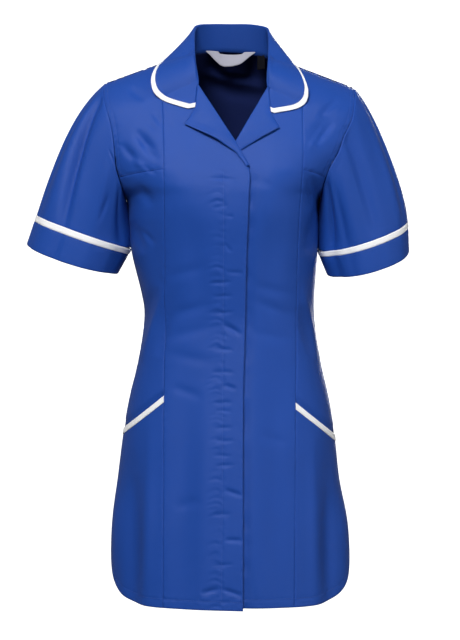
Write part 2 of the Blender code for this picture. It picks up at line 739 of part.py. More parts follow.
def back_surface(across, along):
    """Surface of the back, from the wearer's right side to the left and from the hem up."""
    half = (across - 0.5) * 2.0
    hand = hand_of(half)
    shoulder = SHOULDERS[hand]
    neck_x = lerp(NECK_HALF + NECK_SPREAD, NECK_HALF, ease(along))
    if abs(half) < NECK_BREADTH:
        inner = abs(half) / NECK_BREADTH
        x_top = NECK_HALF * math.sin(inner * math.pi / 2.0)
        z = row_height("back", along, neck_seam(hand * x_top).z)
        x = lerp(neck_x * inner, x_top, ease((along - NECK_WIDENS) / (1.0 - NECK_WIDENS)))
        return skin_at(BACK, hand * x, z)
    outer = (abs(half) - NECK_BREADTH) / (1.0 - NECK_BREADTH)
    z_side = row_height("side", along, shoulder.tip_z, 1.0)
    z = lerp(row_height("back", along, shoulder.neck_z), z_side, outer)
    if along * ROWS < HEM_ANCHOR.steps:
        z = back_hem(outer, along)
    start = abs(turn_at(BACK, hand * neck_x, z))
    end = side_turn(BACK, hand, z)
    if z_side > UNDERARM_Z:
        end = abs(turn_at(BACK, hand * ARM_EDGE[hand](z_side), z))
    return on_shoulder(skin(BACK, hand * lerp(start, end, outer), z))


def armhole_point(hand, turn):
    """Point of the armhole seam: 0 at the shoulder tip, a quarter turn at the front, a half at the underarm."""
    tip_z = SHOULDERS[hand].tip_z
    z = lerp(UNDERARM_Z, tip_z, (1.0 + math.cos(turn)) / 2.0)
    face = FRONT if math.sin(turn) > 0 else BACK
    return skin_at(face, hand * ARM_EDGE[hand](z), z)


def ring_point(ring, turn):
    """Point of a sleeve's band or hem line."""
    outer = Vector((ring.outer_x, SLEEVE_FORWARD, ring.outer_z))
    inner = Vector((ring.inner_x, SLEEVE_FORWARD, ring.inner_z))
    centre, half = (outer + inner) / 2.0, (outer - inner) / 2.0
    depth = Vector((0.0, -ring.half_depth, -ring.dip)) * math.sin(turn)
    return centre + half * math.cos(turn) + depth


def sleeve(hand):
    """Surface of a sleeve, round the arm and from the armhole down to the white band."""

    def surface(around, along):
        turn = around * 2.0 * math.pi
        top = (1.0 + math.cos(turn)) / 2.0
        run = Run(*(lerp(under, over, top) for under, over in zip(UNDER_RUN, TOP_RUN[hand])))
        standoff = Vector((hand * SEAM_GAP * (SLEEVE_STANDOFF - top), 0.0, 0.0))
        start = armhole_point(hand, turn) + standoff
        band, hem = ring_point(BAND_RINGS[hand], turn), ring_point(HEM_RINGS[hand], turn)
        leave = Vector((hand * run.outwards, 0.0, run.upwards)).normalized()
        arrive = lerp(Vector((0.0, 0.0, -1.0)), (hem - band).normalized(), ease(top * BAND_TURN)).normalized()
        first = start + leave * run.armhole_reach
        second = band - arrive * run.band_reach
        rest = 1.0 - along
        return start * rest**3 + first * 3 * along * rest**2 + second * 3 * along**2 * rest + band * along**3

    return surface


def cuff(hand, low, high):
    """Surface of a stretch between a sleeve's band line and its hem."""

    def surface(around, along):
        turn = around * 2.0 * math.pi
        band, hem = ring_point(BAND_RINGS[hand], turn), ring_point(HEM_RINGS[hand], turn)
        return lerp(band, hem, lerp(low, high, along))

    return surface


def band_direction(hand):
    """Direction of the walls where sleeve and band meet, half way between the two."""

    def direction(around, _):
        turn = around * 2.0 * math.pi
        before, after = ring_point(BAND_RINGS[hand], turn - STEP), ring_point(BAND_RINGS[hand], turn + STEP)
        arriving = sleeve(hand)(around, 1.0) - sleeve(hand)(around, 1.0 - STEP)
        leaving = cuff(hand, 0.0, 1.0)(around, STEP) - cuff(hand, 0.0, 1.0)(around, 0.0)
        down = arriving.normalized() + leaving.normalized()
        return ((after - before).cross(down) * hand).normalized()

    return direction


def sleeve_turns(hand):
    """Shares round the sleeve that meet the rows of the body walls at the armhole."""
    tip_z = SHOULDERS[hand].tip_z
    turns = []
    for row in range(UNDERARM_ROW, ROWS + 1):
        z = row_height("side", row / ROWS, tip_z)
        level = 2.0 * (z - UNDERARM_Z) / (tip_z - UNDERARM_Z) - 1.0
        turns.append(math.acos(min(max(level, -1.0), 1.0)) / (2.0 * math.pi))
    front_half = sorted(turns)
    back_half = [1.0 - turn for turn in reversed(front_half[1:-1])]
    return front_half + back_half


def fold_line(hand, share):
    """Point of a revers' fold line on the edge of its front."""
    z = lerp(GORGE_Z[hand], REVERS_END_Z[hand], share)
    x = front_edge_x(hand, z)
    inset = underlap(x, z) if hand == LEFT else 0.0
    return skin_at(FRONT, x, z, inset)


def revers_frame(hand, share):
    """Fold point, direction out of the cloth and direction away from the opening, square to the fold."""
    fold = fold_line(hand, share)
    along = fold_line(hand, share + STEP) - fold_line(hand, share - STEP)
    up = skin_normal(FRONT, fold.x, fold.z)
    out = (up.cross(along) * hand).normalized()
    return fold, along.cross(out).normalized() * hand, out


def fold_round(frame, share):
    """Point on the round of a fold, from its inner side to its top."""
    fold, up, out = frame
    centre = fold - up * FOLD_DEPTH - out * FOLD_FORWARD
    angle = math.pi * (1.0 - share / 2.0)
    return centre + (out * math.cos(angle) + up * math.sin(angle)) * FOLD_RADIUS


def laid_point(hand, x, z, bulge=0.0):
    """Point of the turned-back cloth above a front, at a place seen from the front."""
    inset = underlap(x, z) if hand == LEFT else 0.0
    away = abs(x - front_edge_x(hand, z)) / LIFT_REACH
    lift = lerp(FOLD_RADIUS - FOLD_DEPTH, COLLAR_LIFT, ease(away)) + bulge
    return skin_at(FRONT, x, z, inset) + skin_normal(FRONT, x, z) * lift


def fold_shift(hand, share):
    """Step from the laid cloth above the fold line to the top of the fold's round."""
    frame = revers_frame(hand, share)
    return fold_round(frame, 1.0) - laid_point(hand, frame[0].x, frame[0].z)


def gorge_point(hand, share):
    """Point of the gorge line, where collar and revers meet, from the fold's top down to the notch."""
    fold = fold_line(hand, 0.0)
    notch = REVERS[hand][0]
    point = laid_point(hand, lerp(fold.x, notch.x, share), lerp(fold.z, notch.z, share))
    return point + fold_shift(hand, 0.0) * (1.0 - share)


def revers(hand):
    """Surface of a revers, from inside its fold out to its edge."""
    notch = REVERS[hand][0]
    first_fold, first_shift = fold_line(hand, 0.0), fold_shift(hand, 0.0)

    def surface(across, along):
        if across < FOLD_SHARE:
            return fold_round(revers_frame(hand, along), across / FOLD_SHARE)
        share = (across - FOLD_SHARE) / (1.0 - FOLD_SHARE)
        fold, shift = fold_line(hand, along), fold_shift(hand, along)
        if along < notch.share:
            down = lerp(GORGE_START, 1.0, along / notch.share)
            edge_x, edge_z = lerp(first_fold.x, notch.x, down), lerp(first_fold.z, notch.z, down)
            edge_shift = first_shift * (1.0 - down)
        else:
            edge_x = broken_line(REVERS[hand], "share", "x", along)
            edge_z = broken_line(REVERS[hand], "share", "z", along)
            edge_shift = Vector((0.0, 0.0, 0.0))
        width = math.hypot(edge_x - fold.x, edge_z - fold.z)
        bulge = REVERS_BULGE * math.sin(math.pi * share) * min(width / BULGE_WIDTH, 1.0)
        point = laid_point(hand, lerp(fold.x, edge_x, share), lerp(fold.z, edge_z, share), bulge)
        return point + lerp(shift, edge_shift, share)

    return surface


def round_direction(frame, point):
    """Direction square to the round of a fold."""
    fold, up, out = frame
    return (point - fold + up * FOLD_DEPTH + out * FOLD_FORWARD).normalized()


def revers_directions(hand):
    """Directions of a revers' wall at its upper end and its outer edge."""

    def upper(across, point):
        if across < FOLD_SHARE:
            return round_direction(revers_frame(hand, 0.0), point)
        return skin_normal(FRONT, point.x, point.z)

    def outer(_, point):
        return skin_normal(FRONT, point.x, point.z)

    return {"first row": upper, "last column": outer}


def over_shoulder(x, q):
    """Skin point and direction by how far it hangs over the shoulder, 1 being where the front is upright."""
    face = FRONT if q >= 0 else BACK
    turn = min(abs(q), 1.0) * math.pi / 2.0
    drop = 1.0 - math.cos(turn) + max(abs(q) - 1.0, 0.0) * math.pi / 2.0
    point = skin_at(face, x, ridge(x) - SHOULDER_ROUND * drop)
    shoulder = SHOULDERS[hand_of(x)]
    slope = (shoulder.neck_z - shoulder.tip_z) / (shoulder.tip_x - NECK_HALF)
    rise = Vector((hand_of(x) * slope * min(abs(x) / NECK_HALF, 1.0), 0.0, 1.0)).normalized()
    forward = Vector((0.0, math.copysign(math.sin(turn), -q), 0.0))
    return point, (rise * max(math.cos(turn), UPRIGHT_FLOOR) + forward).normalized()


@functools.lru_cache
def collar_curves(hand):
    """Curves through the collar's table, with the fold of the revers as its last row."""
    fold, up, _ = revers_frame(hand, 0.0)
    lean = math.degrees(math.atan2(-up.y, up.z))
    last = Collar(1.0, *fold_round(revers_frame(hand, 0.0), 1.0), lean, *COLLAR_END[hand])
    rows = COLLARS[hand] + (last,)
    return {column: Curve(rows, "share", column) for column in Collar._fields[1:]}


def collar_station(hand, share):
    """Top of the fold, direction upwards, edge point and its direction, at a share from back to front."""
    curves = collar_curves(hand)
    roll = Vector(curves[column](share) for column in "xyz")
    lean = math.radians(curves["lean"](share))
    meeting = ease((share - MEETING_SHARE) / (1.0 - MEETING_SHARE))
    up = lerp(Vector((0.0, -math.sin(lean), math.cos(lean))), revers_frame(hand, 0.0)[1], meeting).normalized()
    edge_x = curves["edge_x"](share)
    edge, direction = over_shoulder(edge_x, curves["edge_q"](share))
    direction = lerp(direction, skin_normal(FRONT, edge_x, edge.z), meeting).normalized()
    return roll, up, edge + direction * COLLAR_LIFT, direction


def neckline_point(hand, share):
    """Point of the neck seam under the collar, from the back centre round to the gorge."""
    if share < NECK_TURNING:
        angle = share / NECK_TURNING * math.pi / 2.0
        return neck_seam(hand * NECK_HALF * math.sin(angle))
    z = lerp(SHOULDERS[hand].neck_z, GORGE_Z[hand], (share - NECK_TURNING) / (1.0 - NECK_TURNING))
    x = front_edge_x(hand, z)
    return skin_at(FRONT, x, min(z, ridge(x)))


def clear_of_body(point, lift):
    """The point, moved out until it lies this far above the body form."""
    centre_z = ridge(point.x) - SHOULDER_ROUND
    face = FRONT if point.y < 0 else BACK
    reach = abs(skin_at(face, point.x, min(point.z, centre_z)).y)
    if point.z <= centre_z:
        return Vector((point.x, face * max(abs(point.y), reach + lift), point.z))
    arm = Vector((0.0, point.y, point.z - centre_z))
    share = math.hypot(arm.y / reach, arm.z / SHOULDER_ROUND)
    scale = max(1.0, (1.0 + lift / arm.length) / share)
    return Vector((point.x, 0.0, centre_z)) + arm * scale


def loose_collar_point(hand, share, across):
    """Point of the collar's face before it meets the revers: up the stand, round the fold and down the fall."""
    roll, up, edge, edge_normal = collar_station(hand, share)
    centre = roll - up * FOLD_RADIUS
    reach = edge - centre
    out = (reach - up * reach.dot(up)).normalized()
    slant = math.atan2(-reach.dot(up), reach.dot(out))
    top_angle = math.pi / 2.0 - slant
    front = ease((share - NECK_TURNING) / (1.0 - NECK_TURNING))
    seam = neckline_point(hand, share)
    foot = seam + up * lerp(FOOT_BACK, FOOT_FRONT, front) - out * lerp(CLOTH, FOLD_RADIUS, front)
    inner = centre - out * FOLD_RADIUS
    if across < STAND_SHARE:
        return lerp(foot, inner, across / STAND_SHARE)
    if across < ROUND_SHARE:
        angle = lerp(math.pi, top_angle, (across - STAND_SHARE) / (ROUND_SHARE - STAND_SHARE))
        return centre + (out * math.cos(angle) + up * math.sin(angle)) * FOLD_RADIUS
    start = centre + (out * math.cos(top_angle) + up * math.sin(top_angle)) * FOLD_RADIUS
    fall = (across - ROUND_SHARE) / (1.0 - ROUND_SHARE)
    bulge = edge_normal * FALL_BULGE * math.sin(math.pi * fall)
    return clear_of_body(lerp(start, edge, fall) + bulge, COLLAR_LIFT)


def collar_end(hand, across):
    """Point of the collar's end, round the fold and down the gorge line."""
    if across < ROUND_SHARE:
        return fold_round(revers_frame(hand, 0.0), max(across - STAND_SHARE, 0.0) / (ROUND_SHARE - STAND_SHARE))
    return gorge_point(hand, (across - ROUND_SHARE) / (1.0 - ROUND_SHARE))


def collar_point(hand, share, across):
    """Point of the collar's face, led into the gorge line at its end."""
    point = loose_collar_point(hand, share, across)
    if share <= MEETING_SHARE:
        return point
    meeting = collar_end(hand, across) - loose_collar_point(hand, 1.0, max(across, STAND_SHARE))
    weight = ease((share - MEETING_SHARE) / (1.0 - MEETING_SHARE))
    return point + meeting * weight * min(across / STAND_SHARE, 1.0)


def gorge_directions(low, high):
    """Directions of the collar's wall at both gorges, the same as those of the revers."""

    def at_hand(hand):
        def direction(measure, point):
            across = lerp(low, high, measure)
            if across < STAND_SHARE:
                return None
            if across < ROUND_SHARE:
                return round_direction(revers_frame(hand, 0.0), point)
            return skin_normal(FRONT, point.x, point.z)

        return direction

    return {"first column": at_hand(RIGHT), "last column": at_hand(LEFT)}


def collar_surface(low, high):
    """Surface of the whole collar or of a stretch of its fall, from the right gorge to the left one."""

    def surface(around, across):
        half = (around - 0.5) * 2.0
        return collar_point(hand_of(half), abs(half), lerp(low, high, across))

    return surface


def label_point(across, along):
    """Point of the loop label, which hangs from two tabs on the neck seam."""
    x = lerp(-LABEL_HALF, LABEL_HALF, across)
    share = 1.0 - (x / LABEL_HALF) ** 2
    z = LABEL_TOP_Z - LABEL_SAG * share - LABEL_HEIGHT * (1.0 - along)
    wall = skin_at(BACK, x, z)
    inward = CLOTH + LABEL_GAP + LABEL_WALL + LABEL_BULGE * share
    return wall - skin_normal(BACK, x, z) * inward


def tag_point(across, along):
    """Point of the small tag beside the label."""
    x, z = lerp(*TAG_X, across), lerp(*TAG_Z, along)
    wall = skin_at(BACK, x, z)
    inward = CLOTH + TAG_GAP + LABEL_WALL + TAG_FLARE * (1.0 - along)
    return wall - skin_normal(BACK, x, z) * inward


def build_fronts():
    """Centre fronts, chest pieces and side fronts of both hands."""
    shoulder = {"last row": shoulder_direction}
    for hand, name in SIDES.items():
        columns, rows = shares(FRONT_COLUMNS), shares(ROWS)
        add_sheet("front_" + name, centre_front(hand), columns, rows, hand, edges=shoulder)
        columns, rows = shares(CHEST_COLUMNS), shares(ROWS - BUST_ROW)
        add_sheet("chest_" + name, chest(hand), columns, rows, hand, edges=shoulder)
        levels = side_front_levels(hand)
        rows = shares(len(levels) - 1)
        add_sheet("side_front_" + name, side_front(hand, levels), shares(SIDE_COLUMNS), rows, hand)


def build_pockets():
    """Lower side fronts with their bound pocket edges."""
    columns = shares(POCKET_COLUMNS)
    for hand, name in SIDES.items():
        add_sheet("pocket_front_" + name, pocket_front(hand), columns, shares(POCKET_ROWS), hand)
        add_sheet(
            "pocket_binding_" + name,
            pocket_binding(hand),
            columns,
            shares(1),
            hand,
            wall=TRIM,
            finish=TRIM_FINISH,
            proud=POCKET_PROUD,
        )


def build_back():
    """The back."""
    neck = [0.5 + NECK_BREADTH * (share - 0.5) for share in shares(NECK_COLUMNS)]
    outer = [neck[0] * share for share in shares(BACK_COLUMNS)][:-1]
    columns = outer + neck + [1.0 - share for share in reversed(outer)]
    add_sheet("back", back_surface, columns, shares(ROWS), -1, edges={"last row": shoulder_direction})


def build_sleeves():
    """Sleeves, white bands and cuffs."""
    for hand, name in SIDES.items():
        turns = sleeve_turns(hand)
        meeting = band_direction(hand)
        rows = shares(SLEEVE_ROWS)
        add_sheet("sleeve_" + name, sleeve(hand), turns, rows, hand, closed=True, edges={"last row": meeting})
        add_sheet(
            "cuff_band_" + name,
            cuff(hand, 0.0, BAND_SHARE),
            turns,
            shares(1),
            hand,
            wall=TRIM,
            finish=TRIM_FINISH,
            closed=True,
            proud=BAND_PROUD,
            edges={"first row": meeting},
        )
        add_sheet(
            "cuff_" + name,
            cuff(hand, BAND_SHARE, 1.0),
            turns,
            shares(CUFF_ROWS),
            hand,
            wall=CUFF_WALL,
            closed=True,
            proud=CUFF_PROUD,
        )


def revers_rows(hand):
    """Shares of the fold's length for the rows of a revers, with a row at each corner of its edge."""
    corners = [0.0] + [corner.share for corner in REVERS[hand]]
    rows = [0.0]
    for low, high in zip(corners, corners[1:]):
        rows += [lerp(low, high, step) for step in shares(REVERS_STEPS)[1:]]
    return rows


def build_revers():
    """Revers folded out from the front edges."""
    round_steps = [FOLD_SHARE * share for share in shares(4)]
    flat_steps = [lerp(FOLD_SHARE, 1.0, share) for share in shares(5)][1:]
    for hand, name in SIDES.items():
        add_sheet(
            "lapel_" + name,
            revers(hand),
            round_steps + flat_steps,
            revers_rows(hand),
            -hand,
            edges=revers_directions(hand),
        )


def build_collar():
    """Collar and its white binding."""
    around = shares(COLLAR_COLUMNS)
    stand = [STAND_SHARE * share for share in shares(2)]
    over = [lerp(STAND_SHARE, ROUND_SHARE, share) for share in shares(5)][1:]
    fall = [lerp(ROUND_SHARE, BINDING_SHARE, share) for share in shares(4)][1:]
    steps = [value / BINDING_SHARE for value in stand + over + fall]
    add_sheet(
        "collar",
        collar_surface(0.0, BINDING_SHARE),
        around,
        steps,
        1,
        edges=gorge_directions(0.0, BINDING_SHARE),
    )
    add_sheet(
        "collar_binding",
        collar_surface(BINDING_SHARE, 1.0),
        around,
        shares(1),
        1,
        wall=TRIM,
        finish=TRIM_FINISH,
        proud=BINDING_PROUD,
        edges=gorge_directions(BINDING_SHARE, 1.0),
    )


def build_labels():
    """Loop label and size tag, both bare."""
    add_sheet("neck_label", label_point, shares(10), shares(1), 1, wall=LABEL_WALL, finish=LABEL_FINISH)
    add_sheet("size_tag", tag_point, shares(2), shares(2), 1, wall=LABEL_WALL, finish=TAG_FINISH)


def main():
    """Builds every piece of the tunic."""
    for old in list(bpy.data.objects):
        bpy.data.objects.remove(old, do_unlink=True)
    build_fronts()
    build_pockets()
    build_back()
    build_sleeves()
    build_revers()
    build_collar()
    build_labels()


if __name__ == "__main__":
    main()
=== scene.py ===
"""Dresses the medical tunic's frame: cloth pieces on the body form, trims, labels, stitching and a studio.

Metres, +Z up, the front towards -Y and the wearer's right towards -X. The origin is in the middle between
the two shoulder neck points. Each piece is a thin cloth shell on the form of the solid that it replaces.
"""

import bisect
import collections
import functools
import json
import math

import bmesh
import bpy
import numpy as np
from mathutils import Matrix, Vector, noise

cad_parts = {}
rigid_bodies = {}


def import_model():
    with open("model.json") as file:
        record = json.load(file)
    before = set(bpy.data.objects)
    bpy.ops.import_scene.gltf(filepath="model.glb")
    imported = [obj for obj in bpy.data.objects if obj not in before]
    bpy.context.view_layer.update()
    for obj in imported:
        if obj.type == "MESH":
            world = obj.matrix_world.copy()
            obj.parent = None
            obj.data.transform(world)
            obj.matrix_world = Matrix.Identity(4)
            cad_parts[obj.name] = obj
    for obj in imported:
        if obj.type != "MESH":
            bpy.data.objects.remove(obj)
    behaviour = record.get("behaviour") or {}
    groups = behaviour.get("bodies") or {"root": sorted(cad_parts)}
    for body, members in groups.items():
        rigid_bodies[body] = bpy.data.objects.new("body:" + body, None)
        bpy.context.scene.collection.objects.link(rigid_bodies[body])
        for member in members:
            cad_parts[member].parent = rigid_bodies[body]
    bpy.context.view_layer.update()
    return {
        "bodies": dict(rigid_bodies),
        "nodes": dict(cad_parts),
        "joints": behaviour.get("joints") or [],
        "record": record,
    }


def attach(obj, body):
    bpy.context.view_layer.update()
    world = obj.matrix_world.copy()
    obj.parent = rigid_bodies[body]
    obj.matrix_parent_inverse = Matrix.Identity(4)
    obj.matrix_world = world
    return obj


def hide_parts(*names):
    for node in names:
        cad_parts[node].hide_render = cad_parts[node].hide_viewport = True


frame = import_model()

bl_info = {
    "name": "Medical tunic",
    "version": (1, 0, 0),
    "blender": (4, 5, 0),
    "location": "3D View > Sidebar > Tunic",
    "description": "Builds a women's short-sleeved healthcare tunic as it hangs when it is worn",
    "category": "Object",
}

BODY = "root"

# Cloth and seams
CLOTH = 0.0014  # wall of the main cloth
TRIM = 0.0020  # wall of the white bindings
SEAM_GAP = 0.0003  # between two pieces that are sewn together

# Hands and faces of the body
RIGHT, LEFT = -1, 1  # the wearer's right lies at -X
FRONT, BACK = -1, 1
SIDES = {RIGHT: "right", LEFT: "left"}


def rows_of(kind, *rows):
    """The rows of a table, all of one kind."""
    return tuple(kind(*row) for row in rows)


# Body form: half widths each side of the centre, and depths before and behind it, by height
Section = collections.namedtuple("Section", "z right left front back")
SECTIONS = rows_of(
    Section,
    (0.06, 0.244, 0.238, 0.04, 0.085), (0.0, 0.242, 0.236, 0.048, 0.088),
    (-0.05, 0.238, 0.231, 0.061, 0.094), (-0.1, 0.226, 0.218, 0.086, 0.1),
    (-0.14, 0.212, 0.198, 0.105, 0.102), (-0.176, 0.193, 0.168, 0.116, 0.102),
    (-0.2, 0.174, 0.146, 0.12, 0.1), (-0.215, 0.157, 0.134, 0.121, 0.099),
    (-0.25, 0.1525, 0.1315, 0.12, 0.094), (-0.294, 0.1485, 0.129, 0.114, 0.087),
    (-0.366, 0.1315, 0.1245, 0.104, 0.08), (-0.4, 0.1305, 0.126, 0.101, 0.082),
    (-0.456, 0.139, 0.1335, 0.104, 0.094), (-0.516, 0.153, 0.147, 0.109, 0.108),
    (-0.576, 0.162, 0.156, 0.115, 0.118), (-0.636, 0.168, 0.162, 0.12, 0.124),
    (-0.72, 0.1765, 0.173, 0.127, 0.13), (-0.82, 0.175, 0.1755, 0.133, 0.134),
)
FRONT_SQUARE = 2.5  # exponent of the front half sections, 2 being an ellipse
BACK_SQUARE = 2.4

# Shoulders: the seam runs from the neck point down to the tip
Shoulder = collections.namedtuple("Shoulder", "neck_z tip_x tip_z")
SHOULDERS = {
    RIGHT: Shoulder(0.003, 0.190, -0.043),
    LEFT: Shoulder(-0.003, 0.186, -0.050),
}
SHOULDER_ROUND = 0.060  # drop over which the walls round over to the shoulder seam
NECK_HALF = 0.063
NECK_SPREAD = 0.012  # the back's columns below the neck run this much further apart at the hem
NECK_BACK = 0.062  # reach of the back neck seam behind the shoulder line
NECK_RISE = 0.032  # rise of the form towards the nape

# Bust shaping, soft and general
BUST_X = 0.078
BUST_Z = -0.208
BUST_WIDE = 0.042
BUST_TALL = 0.060
BUST_RISE = 0.007

# Armholes: distance from the centre by height
Armhole = collections.namedtuple("Armhole", "z right left")
UNDERARM_Z = -0.215
ARMHOLES = rows_of(
    Armhole,
    (-0.04, 0.19, 0.186), (-0.07, 0.188, 0.183), (-0.1, 0.179, 0.178), (-0.126, 0.1735, 0.166),
    (-0.15, 0.1705, 0.157), (-0.176, 0.1675, 0.143), (-0.2, 0.16, 0.135), (-0.215, 0.157, 0.134),
)

# Princess seams: distance from the centre by height
Princess = collections.namedtuple("Princess", "z right left")
PRINCESS = rows_of(
    Princess,
    (0.0, 0.104, 0.104), (-0.12, 0.0985, 0.105), (-0.176, 0.0975, 0.1045), (-0.25, 0.097, 0.0995),
    (-0.4, 0.0975, 0.096), (-0.55, 0.098, 0.094), (-0.82, 0.0985, 0.0915),
)

# Front edges: signed place of the edge by height, placket below and fold of the revers above
PLACKET_TOP_Z = -0.176
GORGE_Z = {RIGHT: -0.052, LEFT: -0.055}
FrontEdge = collections.namedtuple("FrontEdge", "z x")
FRONT_EDGES = {
    RIGHT: rows_of(
        FrontEdge,
        (0.003, -0.063), (-0.052, -0.0499), (-0.134, 0.0015), (-0.176, 0.0254), (-0.22, 0.0256),
        (-0.31, 0.0225), (-0.42, 0.0203), (-0.5, 0.0179), (-0.82, 0.0172),
    ),
    LEFT: rows_of(
        FrontEdge,
        (-0.003, 0.063), (-0.055, 0.0557), (-0.134, 0.011), (-0.176, -0.0155), (-0.22, -0.0165),
        (-0.82, -0.0165),
    ),
}
UNDERLAP_INSET = 0.0024  # the left front lies this far under the right one
UNDERLAP_REACH = (0.026, 0.062)  # where the inset begins to fade and where it has gone
CROSSING = (0.004, -0.150)  # where the two revers cross, as x and z
CROSSING_INSET = 0.0042
CROSSING_SPREAD = 0.034

# Rows of the wall grids, from the hem up: heights at the front edge, princess seam, side and back centre,
# and the number of steps to the next row
Anchor = collections.namedtuple("Anchor", "edge princess side back steps")
HEM_ANCHOR = Anchor(-0.814, -0.814, -0.722, -0.812, 4)
VENT_Z = -0.640
ANCHORS = (
    HEM_ANCHOR,
    Anchor(VENT_Z, VENT_Z, VENT_Z, VENT_Z, 3),
    Anchor(-0.500, -0.500, -0.500, -0.500, 3),
    Anchor(-0.400, -0.400, -0.400, -0.400, 6),
    Anchor(-0.214, -0.215, UNDERARM_Z, -0.215, 2),
    Anchor(PLACKET_TOP_Z, -0.178, -0.188, -0.165, 4),
    Anchor(-0.052, -0.075, -0.110, -0.060, 5),
)
WAIST = ANCHORS[3]
WAIST_ROW = sum(anchor.steps for anchor in ANCHORS[:3])
BUST_ROW = sum(anchor.steps for anchor in ANCHORS[:5])
ROWS = sum(anchor.steps for anchor in ANCHORS)
NECK_BREADTH = 0.28  # share of the back's half breadth that lies under the neck
NECK_WIDENS = 0.75  # share of the back's height from which its columns lead into the neck
HEM_SWEEP = 0.022  # rise of the hem spread softly towards the side; the rest rounds the corner at the vent
HEM_SWEEP_POWER = 1.5
HEM_CORNER_POWER = 5.0
VENT_OPEN = 0.020  # turn, in radians, by which each vent edge has drawn back at the hem

# Pockets: heights of the slanted opening at the princess seam and at the side seam
Pocket = collections.namedtuple("Pocket", "princess_z side_z")
POCKETS = {RIGHT: Pocket(-0.516, -0.567), LEFT: Pocket(-0.526, -0.577)}
POCKET_BINDING = 0.0095  # height of the white binding
POCKET_BOTTOM_Z = -0.632
POCKET_INSET = 0.0030  # the pocket's back lies this far behind its front
POCKET_EASE = 0.014  # height above the binding over which it comes forward again
POCKET_PROUD = 0.0006  # the binding stands out this far

# Folds of the worn cloth: each runs from one front-view point to another
Fold = collections.namedtuple("Fold", "x0 z0 x1 z1 half_width depth")
FOLDS = {
    FRONT: rows_of(
        Fold,
        (-0.139, -0.62, -0.143, -0.84, 0.012, 0.005), (0.142, -0.64, 0.147, -0.84, 0.012, 0.005),
        (-0.116, -0.25, -0.108, -0.35, 0.012, 0.0022), (0.11, -0.37, 0.128, -0.45, 0.01, 0.0028),
        (0.108, -0.175, 0.126, -0.215, 0.008, 0.0022), (-0.137, -0.12, -0.11, -0.16, 0.01, 0.003),
        (0.15, -0.09, 0.115, -0.14, 0.01, 0.003),
    ),
    BACK: rows_of(
        Fold,
        (-0.06, -0.56, -0.07, -0.84, 0.02, 0.0045), (0.066, -0.58, 0.078, -0.84, 0.018, 0.0045),
        (-0.13, -0.6, -0.142, -0.84, 0.016, 0.0045), (0.128, -0.6, 0.144, -0.84, 0.016, 0.0045),
        (-0.08, -0.33, 0.01, -0.395, 0.014, 0.0035), (0.085, -0.345, 0.015, -0.41, 0.014, 0.0035),
        (-0.128, -0.12, -0.1, -0.215, 0.014, 0.003), (0.128, -0.12, 0.1, -0.215, 0.014, 0.003),
    ),
}

# Sleeves: ends of the band and hem lines as seen from the front, half depths and dips of their front edges
SleeveRing = collections.namedtuple("SleeveRing", "outer_x outer_z inner_x inner_z half_depth dip")
BAND_RINGS = {
    RIGHT: SleeveRing(-0.2910, -0.2385, -0.1540, -0.2875, 0.057, 0.005),
    LEFT: SleeveRing(0.2640, -0.2475, 0.1345, -0.2895, 0.056, 0.014),
}
HEM_RINGS = {
    RIGHT: SleeveRing(-0.3050, -0.2820, -0.1734, -0.3236, 0.054, 0.011),
    LEFT: SleeveRing(0.2664, -0.2933, 0.1488, -0.3255, 0.053, 0.017),
}
SLEEVE_FORWARD = -0.004  # the cuffs hang this far towards the front
SLEEVE_STANDOFF = 1.5  # seam gaps between the armhole and the sleeve at the underarm, fewer at the tip

# Run of the sleeve's cloth under the arm and over its top: the way it leaves the armhole, as shares of
# outwards and upwards, and how far it keeps its way at the armhole and at the band
Run = collections.namedtuple("Run", "outwards upwards armhole_reach band_reach")
UNDER_RUN = Run(0.10, -1.00, 0.018, 0.022)
TOP_RUN = {RIGHT: Run(0.82, -0.57, 0.052, 0.086), LEFT: Run(0.85, -0.53, 0.025, 0.052)}
BAND_TURN = 1.5  # how soon round the arm the cloth follows the slant of the cuff

BAND_SHARE = 0.20  # part of the way from band line to hem that the white band takes
BAND_PROUD = 0.0009
CUFF_PROUD = 0.0006
CUFF_WALL = 0.0022

# Collar and revers
FOLD_RADIUS = 0.0024
FOLD_DEPTH = 0.0002  # centre of the fold's round below the panel's outer face
FOLD_FORWARD = 0.0005  # and this far outside the edge of the panel
COLLAR_LIFT = 0.0026  # top face of the collar's outer edge above the panels
NECK_TURNING = 0.55  # share of the collar's half length at which it passes the shoulder neck point
UPRIGHT_FLOOR = 0.18  # least share of the shoulder's own direction in that of the fall's edge
FOOT_BACK = 0.0020  # foot of the stand above the neck seam at the back
FOOT_FRONT = -0.0016  # and at the gorge
